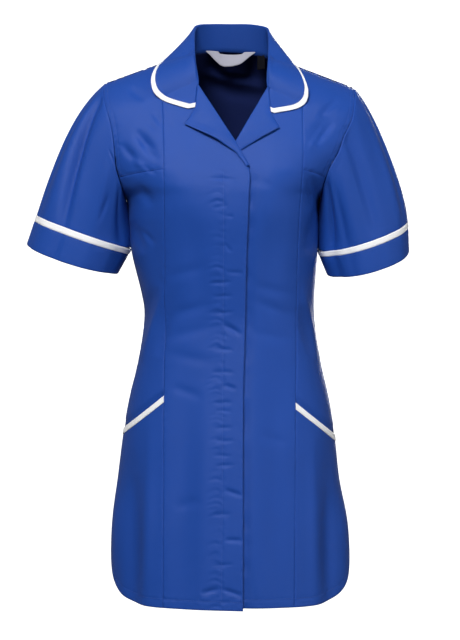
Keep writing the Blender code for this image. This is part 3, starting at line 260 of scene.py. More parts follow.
# Top of the fold, its lean from upright in degrees, and the outer edge by its place across the shoulders and
# how far it hangs over them: 0 on the shoulder line and 1 where the front is upright
Collar = collections.namedtuple("Collar", "share x y z lean edge_x edge_q")
COLLARS = {
    RIGHT: rows_of(
        Collar,
        (0.0, 0.0, 0.07, 0.058, -14, 0.0, -0.76), (0.143, -0.03, 0.066, 0.0578, -12, -0.048, -0.66),
        (0.286, -0.05, 0.05, 0.054, -6, -0.079, -0.4), (0.429, -0.0555, 0.03, 0.0445, 6, -0.094, -0.08),
        (0.571, -0.056, 0.0, 0.025, 22, -0.109, 0.36), (0.714, -0.0545, -0.036, -0.004, 42, -0.117, 0.74),
        (0.857, -0.0515, -0.0545, -0.029, 55, -0.101, 1.03),
    ),
    LEFT: rows_of(
        Collar,
        (0.0, 0.0, 0.07, 0.058, -14, 0.0, -0.76), (0.143, 0.03, 0.066, 0.0572, -12, 0.046, -0.66),
        (0.286, 0.052, 0.05, 0.0515, -6, 0.075, -0.4), (0.429, 0.0565, 0.03, 0.042, 6, 0.088, -0.04),
        (0.571, 0.057, 0.0, 0.0215, 22, 0.102, 0.46), (0.714, 0.056, -0.036, -0.008, 42, 0.113, 0.82),
        (0.857, 0.0545, -0.0545, -0.033, 55, 0.1, 1.09),
    ),
}
COLLAR_END = {RIGHT: (-0.0531, 1.39), LEFT: (0.0581, 1.37)}  # the same two measures of the edge at the gorge

# Free edges of the revers as seen from the front, from the notch down to the placket, by share of the fold's
# length
Corner = collections.namedtuple("Corner", "share x z")
REVERS = {
    RIGHT: rows_of(
        Corner,
        (0.2, -0.0524, -0.0864), (0.3, -0.0674, -0.1123), (0.61, -0.0203, -0.136), (0.81, 0.0063, -0.1536),
        (1.0, 0.0225, -0.175),
    ),
    LEFT: rows_of(
        Corner,
        (0.27, 0.0581, -0.0929), (0.41, 0.0703, -0.1174), (0.64, 0.043, -0.133), (0.88, 0.0151, -0.1497),
        (1.0, 0.0044, -0.1589),
    ),
}
REVERS_END_Z = {RIGHT: -0.1740, LEFT: -0.1560}
REVERS_STEPS = 3  # rows from one corner to the next
REVERS_BULGE = 0.0016
BULGE_WIDTH = 0.040  # narrower stretches bulge less
FOLD_SHARE = 0.34  # share of a revers' grid that goes round its fold
GORGE_START = 0.055  # share of the gorge line that ends the first row of a revers
LIFT_REACH = 0.016  # distance from the fold at which a revers has its full lift

# Shares of the collar's height: the stand ends, the round of the fold ends, the binding begins
STAND_SHARE = 0.22
ROUND_SHARE = 0.36
BINDING_SHARE = 0.86
FALL_BULGE = 0.0012
MEETING_SHARE = 0.80  # share of the length from which on the collar takes on the form of the revers
BINDING_PROUD = 0.0004

STEP = 0.002  # step in a grid's own measure for reading the direction of a surface


class Curve:
    """A smooth curve through one column of a table, read at any place along its key column."""

    def __init__(self, table, key, column):
        rows = sorted(table, key=lambda row: getattr(row, key))
        self.keys = [getattr(row, key) for row in rows]
        self.values = [getattr(row, column) for row in rows]
        self.slopes = [self.slope(index) for index in range(len(rows))]

    def slope(self, index):
        """Slope at a row, from its two neighbours."""
        before, after = max(index - 1, 0), min(index + 1, len(self.keys) - 1)
        return (self.values[after] - self.values[before]) / (self.keys[after] - self.keys[before])

    def __call__(self, at):
        at = min(max(at, self.keys[0]), self.keys[-1])
        low = min(bisect.bisect_right(self.keys, at) - 1, len(self.keys) - 2)
        span = self.keys[low + 1] - self.keys[low]
        share = (at - self.keys[low]) / span
        rest = 1.0 - share
        start = self.values[low] * (1 + 2 * share) * rest**2 + self.slopes[low] * span * share * rest**2
        end = self.values[low + 1] * (3 - 2 * share) * share**2
        return start + end - self.slopes[low + 1] * span * rest * share**2


WIDTH = {hand: Curve(SECTIONS, "z", name) for hand, name in SIDES.items()}
DEPTH = {FRONT: Curve(SECTIONS, "z", "front"), BACK: Curve(SECTIONS, "z", "back")}
SQUARE = {FRONT: FRONT_SQUARE, BACK: BACK_SQUARE}
ARM_EDGE = {hand: Curve(ARMHOLES, "z", name) for hand, name in SIDES.items()}
PRINCESS_EDGE = {hand: Curve(PRINCESS, "z", name) for hand, name in SIDES.items()}
PLACKET_EDGE = Curve(FRONT_EDGES[RIGHT], "z", "x")


def lerp(low, high, share):
    """Value or point between two others."""
    return low + (high - low) * share


def ease(value):
    """0 below 0, 1 above 1 and a soft step between."""
    value = min(max(value, 0.0), 1.0)
    return value * value * (3.0 - 2.0 * value)


def broken_line(table, key, column, at):
    """Straight runs between the rows of a table."""
    rows = sorted(table, key=lambda row: getattr(row, key))
    at = min(max(at, getattr(rows[0], key)), getattr(rows[-1], key))
    for low, high in zip(rows, rows[1:]):
        if at <= getattr(high, key):
            share = (at - getattr(low, key)) / (getattr(high, key) - getattr(low, key))
            return lerp(getattr(low, column), getattr(high, column), share)


def hand_of(x):
    """The wearer's side that a place lies on."""
    return LEFT if x > 0 else RIGHT


def ridge(x):
    """Height of the form over a place across the shoulders."""
    shoulder = SHOULDERS[hand_of(x)]
    reach = abs(x)
    if reach < NECK_HALF:
        share = reach / NECK_HALF
        return shoulder.neck_z * share + NECK_RISE * (1.0 - share**2)
    slope = (shoulder.neck_z - shoulder.tip_z) / (shoulder.tip_x - NECK_HALF)
    return shoulder.neck_z - slope * (reach - NECK_HALF)


def rounding(x, z):
    """Share of the full depth that is left where the walls round over to the shoulder seam."""
    drop = min(max((ridge(x) - z) / SHOULDER_ROUND, 0.0), 1.0)
    return math.sqrt(1.0 - (1.0 - drop) ** 2)


def fold_depth(face, x, z):
    """How far the folds draw the cloth in at a place, seen from the front."""
    total = 0.0
    for fold in FOLDS[face]:
        run_x, run_z = fold.x1 - fold.x0, fold.z1 - fold.z0
        length = math.hypot(run_x, run_z)
        along = ((x - fold.x0) * run_x + (z - fold.z0) * run_z) / length**2
        if not 0.0 < along < 1.0:
            continue
        aside = ((x - fold.x0) * run_z - (z - fold.z0) * run_x) / length
        total += fold.depth * math.sin(math.pi * along) * math.exp(-((aside / fold.half_width) ** 2))
    return total


def turn_at(face, x, z):
    """Turn round the section, 0 at the centre and a quarter at the side, where it passes a place."""
    share = min(abs(x) / WIDTH[hand_of(x)](z), 1.0)
    return math.copysign(math.asin(share ** (SQUARE[face] / 2.0)), x)


def skin(face, turn, z, inset=0.0):
    """Outer face of the worn cloth at a turn and a height."""
    hand = hand_of(turn)
    power = 2.0 / SQUARE[face]
    x = hand * WIDTH[hand](z) * math.sin(abs(turn)) ** power
    y = face * DEPTH[face](z) * max(math.cos(turn), 0.0) ** power
    if face == FRONT:
        across = (abs(x) - BUST_X) / BUST_WIDE
        up = (z - BUST_Z) / BUST_TALL
        y -= BUST_RISE * math.exp(-across * across - up * up)
    y *= rounding(x, z)
    inward = inset + fold_depth(face, x, z)
    x -= math.sin(turn) * inward
    y -= face * math.cos(turn) * inward
    return Vector((x, y, z))


def skin_at(face, x, z, inset=0.0):
    """Outer face of the worn cloth at a place seen from the front or the back."""
    return skin(face, turn_at(face, x, z), z, inset)


def skin_normal(face, x, z):
    """Outward direction of the skin at a place."""
    side = skin_at(face, x + STEP, z) - skin_at(face, x - STEP, z)
    up = skin_at(face, x, z + STEP) - skin_at(face, x, z - STEP)
    return (side.cross(up) * -face).normalized()


def shares(count):
    """Even shares from 0 to 1."""
    return [index / count for index in range(count + 1)]


def hem_rise(side_reach, rise):
    """Rise of the hem towards the side, where its corner is rounded."""
    return HEM_SWEEP * side_reach**HEM_SWEEP_POWER + (rise - HEM_SWEEP) * side_reach**HEM_CORNER_POWER


def row_height(column, share, top, side_reach=0.0):
    """Height of a wall row at one of the anchor columns, with the rows closer together at the top."""
    place = share * ROWS
    heights = [getattr(anchor, column) for anchor in ANCHORS] + [top]
    steps = [anchor.steps for anchor in ANCHORS]
    if column == "side":
        heights[0] = HEM_ANCHOR.princess + hem_rise(side_reach, HEM_ANCHOR.side - HEM_ANCHOR.princess)
    for index, count in enumerate(steps):
        if place <= count or index == len(steps) - 1:
            local = min(place / count, 1.0)
            if index == len(steps) - 1:
                local = math.sin(local * math.pi / 2.0)
            return lerp(heights[index], heights[index + 1], local)
        place -= count


def front_edge_x(hand, z):
    """Signed place of a front's own edge, which bends softly below the top of the placket that shows."""
    if hand == RIGHT and z < PLACKET_TOP_Z:
        return PLACKET_EDGE(z)
    return broken_line(FRONT_EDGES[hand], "z", "x", z)


def side_turn(face, hand, z):
    """Turn at the side seam, drawn back at the vents, or at the armhole above it."""
    if z > UNDERARM_Z:
        return abs(turn_at(face, hand * ARM_EDGE[hand](z), z))
    vent = max(VENT_Z - z, 0.0) / (VENT_Z - HEM_ANCHOR.side)
    return math.pi / 2.0 - VENT_OPEN * ease(vent)


def underlap(x, z):
    """How far the left front lies under the right one."""
    start, end = UNDERLAP_REACH
    inset = UNDERLAP_INSET * (1.0 - ease((x - start) / (end - start)))
    reach = math.hypot(x - CROSSING[0], z - CROSSING[1])
    return inset + CROSSING_INSET * math.exp(-((reach / CROSSING_SPREAD) ** 2))


def centre_front(hand):
    """Surface of a centre front, from its own edge to the princess seam and from the hem up."""
    shoulder_x = hand * PRINCESS_EDGE[hand](0.0)

    def surface(across, along):
        z_edge = row_height("edge", along, SHOULDERS[hand].neck_z)
        z_seam = row_height("princess", along, ridge(shoulder_x))
        z = lerp(z_edge, z_seam, across)
        x_edge = front_edge_x(hand, z_edge)
        x_seam = hand * PRINCESS_EDGE[hand](z_seam)
        x = lerp(x_edge, x_seam, across)
        inset = underlap(x, z) if hand == LEFT else 0.0
        return skin_at(FRONT, x, min(z, ridge(x)), inset)

    return surface


def pocket_line(hand, x, rise=0.0):
    """Height of the pocket opening's lower line at a place, plus a rise."""
    pocket = POCKETS[hand]
    x_seam = PRINCESS_EDGE[hand](pocket.princess_z)
    x_side = WIDTH[hand](pocket.side_z)
    share = (abs(x) - x_seam) / (x_side - x_seam)
    return lerp(pocket.princess_z, pocket.side_z, share) + rise


def side_point(hand, across, z, inset=0.0):
    """Skin point between the princess seam and the side, by its share of the turn."""
    start = abs(turn_at(FRONT, hand * PRINCESS_EDGE[hand](z), z))
    turn = hand * lerp(start, side_turn(FRONT, hand, z), across)
    return skin(FRONT, turn, z, inset)


def on_shoulder(point):
    """The point, or the shoulder seam below it where it lies above the form."""
    if point.z <= ridge(point.x):
        return point
    return Vector((point.x, 0.0, ridge(point.x)))


def chest(hand):
    """Surface of a chest piece, from the bust seam to the shoulder."""
    shoulder = SHOULDERS[hand]
    shoulder_x = hand * PRINCESS_EDGE[hand](0.0)

    def surface(across, along):
        share = lerp(BUST_ROW / ROWS, 1.0, along)
        z_seam = row_height("princess", share, ridge(shoulder_x))
        z_side = row_height("side", share, shoulder.tip_z)
        z = lerp(z_seam, z_side, across)
        start = abs(turn_at(FRONT, hand * PRINCESS_EDGE[hand](z_seam), z))
        end = abs(turn_at(FRONT, hand * ARM_EDGE[hand](z_side), z))
        return on_shoulder(skin(FRONT, hand * lerp(start, end, across), z))

    return surface


Level = collections.namedtuple("Level", "seam side")


def side_front_levels(hand):
    """Heights of a side front's rows at the princess seam and at the side, from behind the pocket up."""
    pocket = POCKETS[hand]
    shoulder_z = ridge(hand * PRINCESS_EDGE[hand](0.0))
    levels = [Level(POCKET_BOTTOM_Z, POCKET_BOTTOM_Z)]
    for rise in (0.0, POCKET_BINDING, POCKET_BINDING + POCKET_EASE):
        levels.append(Level(pocket.princess_z + rise, pocket.side_z + rise))
    low = levels[-1]
    for share in shares(3)[1:-1]:
        levels.append(Level(lerp(low.seam, WAIST.princess, share), lerp(low.side, WAIST.side, share)))
    for row in range(WAIST_ROW, BUST_ROW + 1):
        z_seam = row_height("princess", row / ROWS, shoulder_z)
        levels.append(Level(z_seam, row_height("side", row / ROWS, SHOULDERS[hand].tip_z)))
    return levels


def side_front(hand, levels):
    """Surface of a side front, from behind the pocket opening up to the bust seam."""

    def surface(across, along):
        place = along * (len(levels) - 1)
        low = min(int(place), len(levels) - 2)
        z_seam = lerp(levels[low].seam, levels[low + 1].seam, place - low)
        z_side = lerp(levels[low].side, levels[low + 1].side, place - low)
        z = lerp(z_seam, z_side, across)
        start = abs(turn_at(FRONT, hand * PRINCESS_EDGE[hand](z_seam), z))
        if z_side > UNDERARM_Z:
            end = abs(turn_at(FRONT, hand * ARM_EDGE[hand](z_side), z))
        else:
            end = side_turn(FRONT, hand, z)
        turn = hand * lerp(start, end, across)
        depth = pocket_line(hand, skin(FRONT, turn, z).x, POCKET_BINDING + POCKET_EASE) - z
        return skin(FRONT, turn, z, POCKET_INSET * ease(depth / POCKET_EASE))

    return surface


def pocket_front(hand):
    """Surface of a lower side front, from the hem up to the bound pocket edge."""
    pocket = POCKETS[hand]

    def surface(across, along):
        z_hem = row_height("side", 0.0, 0.0, across)
        z_top = lerp(pocket.princess_z, pocket.side_z, across)
        z = lerp(z_hem, z_top, along)
        point = side_point(hand, across, z)
        top = pocket_line(hand, point.x)
        z = lerp(z_hem, top, along)
        return side_point(hand, across, z)

    return surface


def pocket_binding(hand):
    """Surface of the white binding on the pocket edge."""
    pocket = POCKETS[hand]

    def surface(across, along):
        z = lerp(pocket.princess_z, pocket.side_z, across)
        point = side_point(hand, across, z)
        z = pocket_line(hand, point.x, POCKET_BINDING * along)
        return side_point(hand, across, z)

    return surface


def neck_seam(x):
    """Point of the back neck seam at a place across the neck."""
    reach = min(abs(x) / NECK_HALF, 1.0)
    wanted = NECK_BACK * math.sqrt(1.0 - reach**2)
    share = min(wanted / DEPTH[BACK](0.0), 1.0)
    z = ridge(x) - SHOULDER_ROUND * (1.0 - math.sqrt(1.0 - share**2))
    return skin_at(BACK, x, z)


def back_hem(side_reach, along):
    """Height of the back's rows between the hem, which turns up at the side, and the top of the vents."""
    hem = HEM_ANCHOR.back + hem_rise(side_reach, HEM_ANCHOR.side - HEM_ANCHOR.back)
    return lerp(hem, VENT_Z, along * ROWS / HEM_ANCHOR.steps)


def back_surface(across, along):
    """Surface of the back, from the wearer's right side to the left and from the hem up."""
    half = (across - 0.5) * 2.0
    hand = hand_of(half)
    shoulder = SHOULDERS[hand]
    neck_x = lerp(NECK_HALF + NECK_SPREAD, NECK_HALF, ease(along))
    if abs(half) < NECK_BREADTH:
        inner = abs(half) / NECK_BREADTH
        x_top = NECK_HALF * math.sin(inner * math.pi / 2.0)
        z = row_height("back", along, neck_seam(hand * x_top).z)
        x = lerp(neck_x * inner, x_top, ease((along - NECK_WIDENS) / (1.0 - NECK_WIDENS)))
        return skin_at(BACK, hand * x, z)
    outer = (abs(half) - NECK_BREADTH) / (1.0 - NECK_BREADTH)
    z_side = row_height("side", along, shoulder.tip_z, 1.0)
    z = lerp(row_height("back", along, shoulder.neck_z), z_side, outer)
    if along * ROWS < HEM_ANCHOR.steps:
        z = back_hem(outer, along)
    start = abs(turn_at(BACK, hand * neck_x, z))
    end = side_turn(BACK, hand, z)
    if z_side > UNDERARM_Z:
        end = abs(turn_at(BACK, hand * ARM_EDGE[hand](z_side), z))
    return on_shoulder(skin(BACK, hand * lerp(start, end, outer), z))


def armhole_point(hand, turn):
    """Point of the armhole seam: 0 at the shoulder tip, a quarter turn at the front, a half below the arm."""
    tip_z = SHOULDERS[hand].tip_z
    z = lerp(UNDERARM_Z, tip_z, (1.0 + math.cos(turn)) / 2.0)
    face = FRONT if math.sin(turn) > 0 else BACK
    return skin_at(face, hand * ARM_EDGE[hand](z), z)


def ring_point(ring, turn):
    """Point of a sleeve's band or hem line."""
    outer = Vector((ring.outer_x, SLEEVE_FORWARD, ring.outer_z))
    inner = Vector((ring.inner_x, SLEEVE_FORWARD, ring.inner_z))
    centre, half = (outer + inner) / 2.0, (outer - inner) / 2.0
    depth = Vector((0.0, -ring.half_depth, -ring.dip)) * math.sin(turn)
    return centre + half * math.cos(turn) + depth


def sleeve(hand):
    """Surface of a sleeve, round the arm and from the armhole down to the white band."""

    def surface(around, along):
        turn = around * 2.0 * math.pi
        top = (1.0 + math.cos(turn)) / 2.0
        run = Run(*(lerp(under, over, top) for under, over in zip(UNDER_RUN, TOP_RUN[hand])))
        standoff = Vector((hand * SEAM_GAP * (SLEEVE_STANDOFF - top), 0.0, 0.0))
        start = armhole_point(hand, turn) + standoff
        band, hem = ring_point(BAND_RINGS[hand], turn), ring_point(HEM_RINGS[hand], turn)
        leave = Vector((hand * run.outwards, 0.0, run.upwards)).normalized()
        arrive = lerp(Vector((0.0, 0.0, -1.0)), (hem - band).normalized(), ease(top * BAND_TURN)).normalized()
        first = start + leave * run.armhole_reach
        second = band - arrive * run.band_reach
        rest = 1.0 - along
        return start * rest**3 + first * 3 * along * rest**2 + second * 3 * along**2 * rest + band * along**3

    return surface


def cuff(hand, low, high):
    """Surface of a stretch between a sleeve's band line and its hem."""

    def surface(around, along):
        turn = around * 2.0 * math.pi
        band, hem = ring_point(BAND_RINGS[hand], turn), ring_point(HEM_RINGS[hand], turn)
        return lerp(band, hem, lerp(low, high, along))

    return surface


def fold_line(hand, share):
    """Point of a revers' fold line on the edge of its front."""
    z = lerp(GORGE_Z[hand], REVERS_END_Z[hand], share)
    x = front_edge_x(hand, z)
    inset = underlap(x, z) if hand == LEFT else 0.0
    return skin_at(FRONT, x, z, inset)


@functools.lru_cache
def revers_frame(hand, share):
    """Fold point, direction out of the cloth and direction away from the opening, square to the fold."""
    fold = fold_line(hand, share)
    along = fold_line(hand, share + STEP) - fold_line(hand, share - STEP)
    up = skin_normal(FRONT, fold.x, fold.z)
    out = (up.cross(along) * hand).normalized()
    return fold, along.cross(out).normalized() * hand, out


def fold_round(frame, share):
    """Point on the round of a fold, from its inner side to its top."""
    fold, up, out = frame
    centre = fold - up * FOLD_DEPTH - out * FOLD_FORWARD
    angle = math.pi * (1.0 - share / 2.0)
    return centre + (out * math.cos(angle) + up * math.sin(angle)) * FOLD_RADIUS


def laid_point(hand, x, z, bulge=0.0):
    """Point of the turned-back cloth above a front, at a place seen from the front."""
    inset = underlap(x, z) if hand == LEFT else 0.0
    away = abs(x - front_edge_x(hand, z)) / LIFT_REACH
    lift = lerp(FOLD_RADIUS - FOLD_DEPTH, COLLAR_LIFT, ease(away)) + bulge
    return skin_at(FRONT, x, z, inset) + skin_normal(FRONT, x, z) * lift


@functools.lru_cache
def fold_shift(hand, share):
    """Step from the laid cloth above the fold line to the top of the fold's round."""
    frame = revers_frame(hand, share)
    return fold_round(frame, 1.0) - laid_point(hand, frame[0].x, frame[0].z)


def gorge_point(hand, share):
    """Point of the gorge line, where collar and revers meet, from the fold's top down to the notch."""
    fold = fold_line(hand, 0.0)
    notch = REVERS[hand][0]
    point = laid_point(hand, lerp(fold.x, notch.x, share), lerp(fold.z, notch.z, share))
    return point + fold_shift(hand, 0.0) * (1.0 - share)


def revers(hand):
    """Surface of a revers, from inside its fold out to its edge."""
    notch = REVERS[hand][0]
    first_fold, first_shift = fold_line(hand, 0.0), fold_shift(hand, 0.0)

    def surface(across, along):
        if across < FOLD_SHARE:
            return fold_round(revers_frame(hand, along), across / FOLD_SHARE)
        share = (across - FOLD_SHARE) / (1.0 - FOLD_SHARE)
        fold, shift = fold_line(hand, along), fold_shift(hand, along)
        if along < notch.share:
            down = lerp(GORGE_START, 1.0, along / notch.share)
            edge_x, edge_z = lerp(first_fold.x, notch.x, down), lerp(first_fold.z, notch.z, down)
            edge_shift = first_shift * (1.0 - down)
        else:
            edge_x = broken_line(REVERS[hand], "share", "x", along)
            edge_z = broken_line(REVERS[hand], "share", "z", along)
            edge_shift = Vector((0.0, 0.0, 0.0))
        width = math.hypot(edge_x - fold.x, edge_z - fold.z)
        bulge = REVERS_BULGE * math.sin(math.pi * share) * min(width / BULGE_WIDTH, 1.0)
        point = laid_point(hand, lerp(fold.x, edge_x, share), lerp(fold.z, edge_z, share), bulge)
        return point + lerp(shift, edge_shift, share)

    return surface


def over_shoulder(x, q):
    """Skin point and direction by how far it hangs over the shoulder, 1 being where the front is upright."""
    face = FRONT if q >= 0 else BACK
    turn = min(abs(q), 1.0) * math.pi / 2.0
    drop = 1.0 - math.cos(turn) + max(abs(q) - 1.0, 0.0) * math.pi / 2.0
    point = skin_at(face, x, ridge(x) - SHOULDER_ROUND * drop)
    shoulder = SHOULDERS[hand_of(x)]
    slope = (shoulder.neck_z - shoulder.tip_z) / (shoulder.tip_x - NECK_HALF)
    rise = Vector((hand_of(x) * slope * min(abs(x) / NECK_HALF, 1.0), 0.0, 1.0)).normalized()
    forward = Vector((0.0, math.copysign(math.sin(turn), -q), 0.0))
    return point, (rise * max(math.cos(turn), UPRIGHT_FLOOR) + forward).normalized()


@functools.lru_cache
def collar_curves(hand):
    """Curves through the collar's table, with the fold of the revers as its last row."""
    frame = revers_frame(hand, 0.0)
    lean = math.degrees(math.atan2(-frame[1].y, frame[1].z))
    last = Collar(1.0, *fold_round(frame, 1.0), lean, *COLLAR_END[hand])
    rows = COLLARS[hand] + (last,)
    return {column: Curve(rows, "share", column) for column in Collar._fields[1:]}


@functools.lru_cache
def collar_station(hand, share):
    """Top of the fold, direction upwards, edge point and its direction, at a share from back to front."""
    curves = collar_curves(hand)
    roll = Vector(curves[column](share) for column in "xyz")
    lean = math.radians(curves["lean"](share))
    meeting = ease((share - MEETING_SHARE) / (1.0 - MEETING_SHARE))
    upright = Vector((0.0, -math.sin(lean), math.cos(lean)))
    up = lerp(upright, revers_frame(hand, 0.0)[1], meeting).normalized()
    edge_x = curves["edge_x"](share)
    edge, direction = over_shoulder(edge_x, curves["edge_q"](share))
    direction = lerp(direction, skin_normal(FRONT, edge_x, edge.z), meeting).normalized()
    return roll, up, edge + direction * COLLAR_LIFT, direction


@functools.lru_cache
def neckline_point(hand, share):
    """Point of the neck seam under the collar, from the back centre round to the gorge."""
    if share < NECK_TURNING:
        angle = share / NECK_TURNING * math.pi / 2.0
        return neck_seam(hand * NECK_HALF * math.sin(angle))
    z = lerp(SHOULDERS[hand].neck_z, GORGE_Z[hand], (share - NECK_TURNING) / (1.0 - NECK_TURNING))
    x = front_edge_x(hand, z)
    return skin_at(FRONT, x, min(z, ridge(x)))


def clear_of_body(point, lift):
    """The point, moved out until it lies this far above the body form."""
    centre_z = ridge(point.x) - SHOULDER_ROUND
    face = FRONT if point.y < 0 else BACK
    reach = abs(skin_at(face, point.x, min(point.z, centre_z)).y)
    if point.z <= centre_z:
        return Vector((point.x, face * max(abs(point.y), reach + lift), point.z))
    arm = Vector((0.0, point.y, point.z - centre_z))
    share = math.hypot(arm.y / reach, arm.z / SHOULDER_ROUND)
    scale = max(1.0, (1.0 + lift / arm.length) / share)
    return Vector((point.x, 0.0, centre_z)) + arm * scale


def loose_collar_point(hand, share, across):
    """Point of the collar's face before it meets the revers: up the stand, over and down the fall."""
    roll, up, edge, edge_normal = collar_station(hand, share)
    centre = roll - up * FOLD_RADIUS
    reach = edge - centre
    out = (reach - up * reach.dot(up)).normalized()
    slant = math.atan2(-reach.dot(up), reach.dot(out))
    top_angle = math.pi / 2.0 - slant
    front = ease((share - NECK_TURNING) / (1.0 - NECK_TURNING))
    seam = neckline_point(hand, share)
    foot = seam + up * lerp(FOOT_BACK, FOOT_FRONT, front) - out * lerp(CLOTH, FOLD_RADIUS, front)
    inner = centre - out * FOLD_RADIUS
    if across < STAND_SHARE:
        return lerp(foot, inner, across / STAND_SHARE)
    if across < ROUND_SHARE:
        angle = lerp(math.pi, top_angle, (across - STAND_SHARE) / (ROUND_SHARE - STAND_SHARE))
        return centre + (out * math.cos(angle) + up * math.sin(angle)) * FOLD_RADIUS
    start = centre + (out * math.cos(top_angle) + up * math.sin(top_angle)) * FOLD_RADIUS
    fall = (across - ROUND_SHARE) / (1.0 - ROUND_SHARE)
    bulge = edge_normal * FALL_BULGE * math.sin(math.pi * fall)
    return clear_of_body(lerp(start, edge, fall) + bulge, COLLAR_LIFT)


def collar_end(hand, across):
    """Point of the collar's end, round the fold and down the gorge line."""
    if across < ROUND_SHARE:
        share = max(across - STAND_SHARE, 0.0) / (ROUND_SHARE - STAND_SHARE)
        return fold_round(revers_frame(hand, 0.0), share)
    return gorge_point(hand, (across - ROUND_SHARE) / (1.0 - ROUND_SHARE))


def collar_point(hand, share, across):
    """Point of the collar's face, led into the gorge line at its end."""
    point = loose_collar_point(hand, share, across)
    if share <= MEETING_SHARE:
        return point
    meeting = collar_end(hand, across) - loose_collar_point(hand, 1.0, max(across, STAND_SHARE))
    weight = ease((share - MEETING_SHARE) / (1.0 - MEETING_SHARE))
    return point + meeting * weight * min(across / STAND_SHARE, 1.0)


def revers_rows(hand):
    """Shares of the fold's length for the rows of a revers, with a row at each corner of its edge."""
    corners = [0.0] + [corner.share for corner in REVERS[hand]]
    rows = [0.0]
    for low, high in zip(corners, corners[1:]):
        rows += [lerp(low, high, step) for step in shares(REVERS_STEPS * 4)[1:]]
    return rows


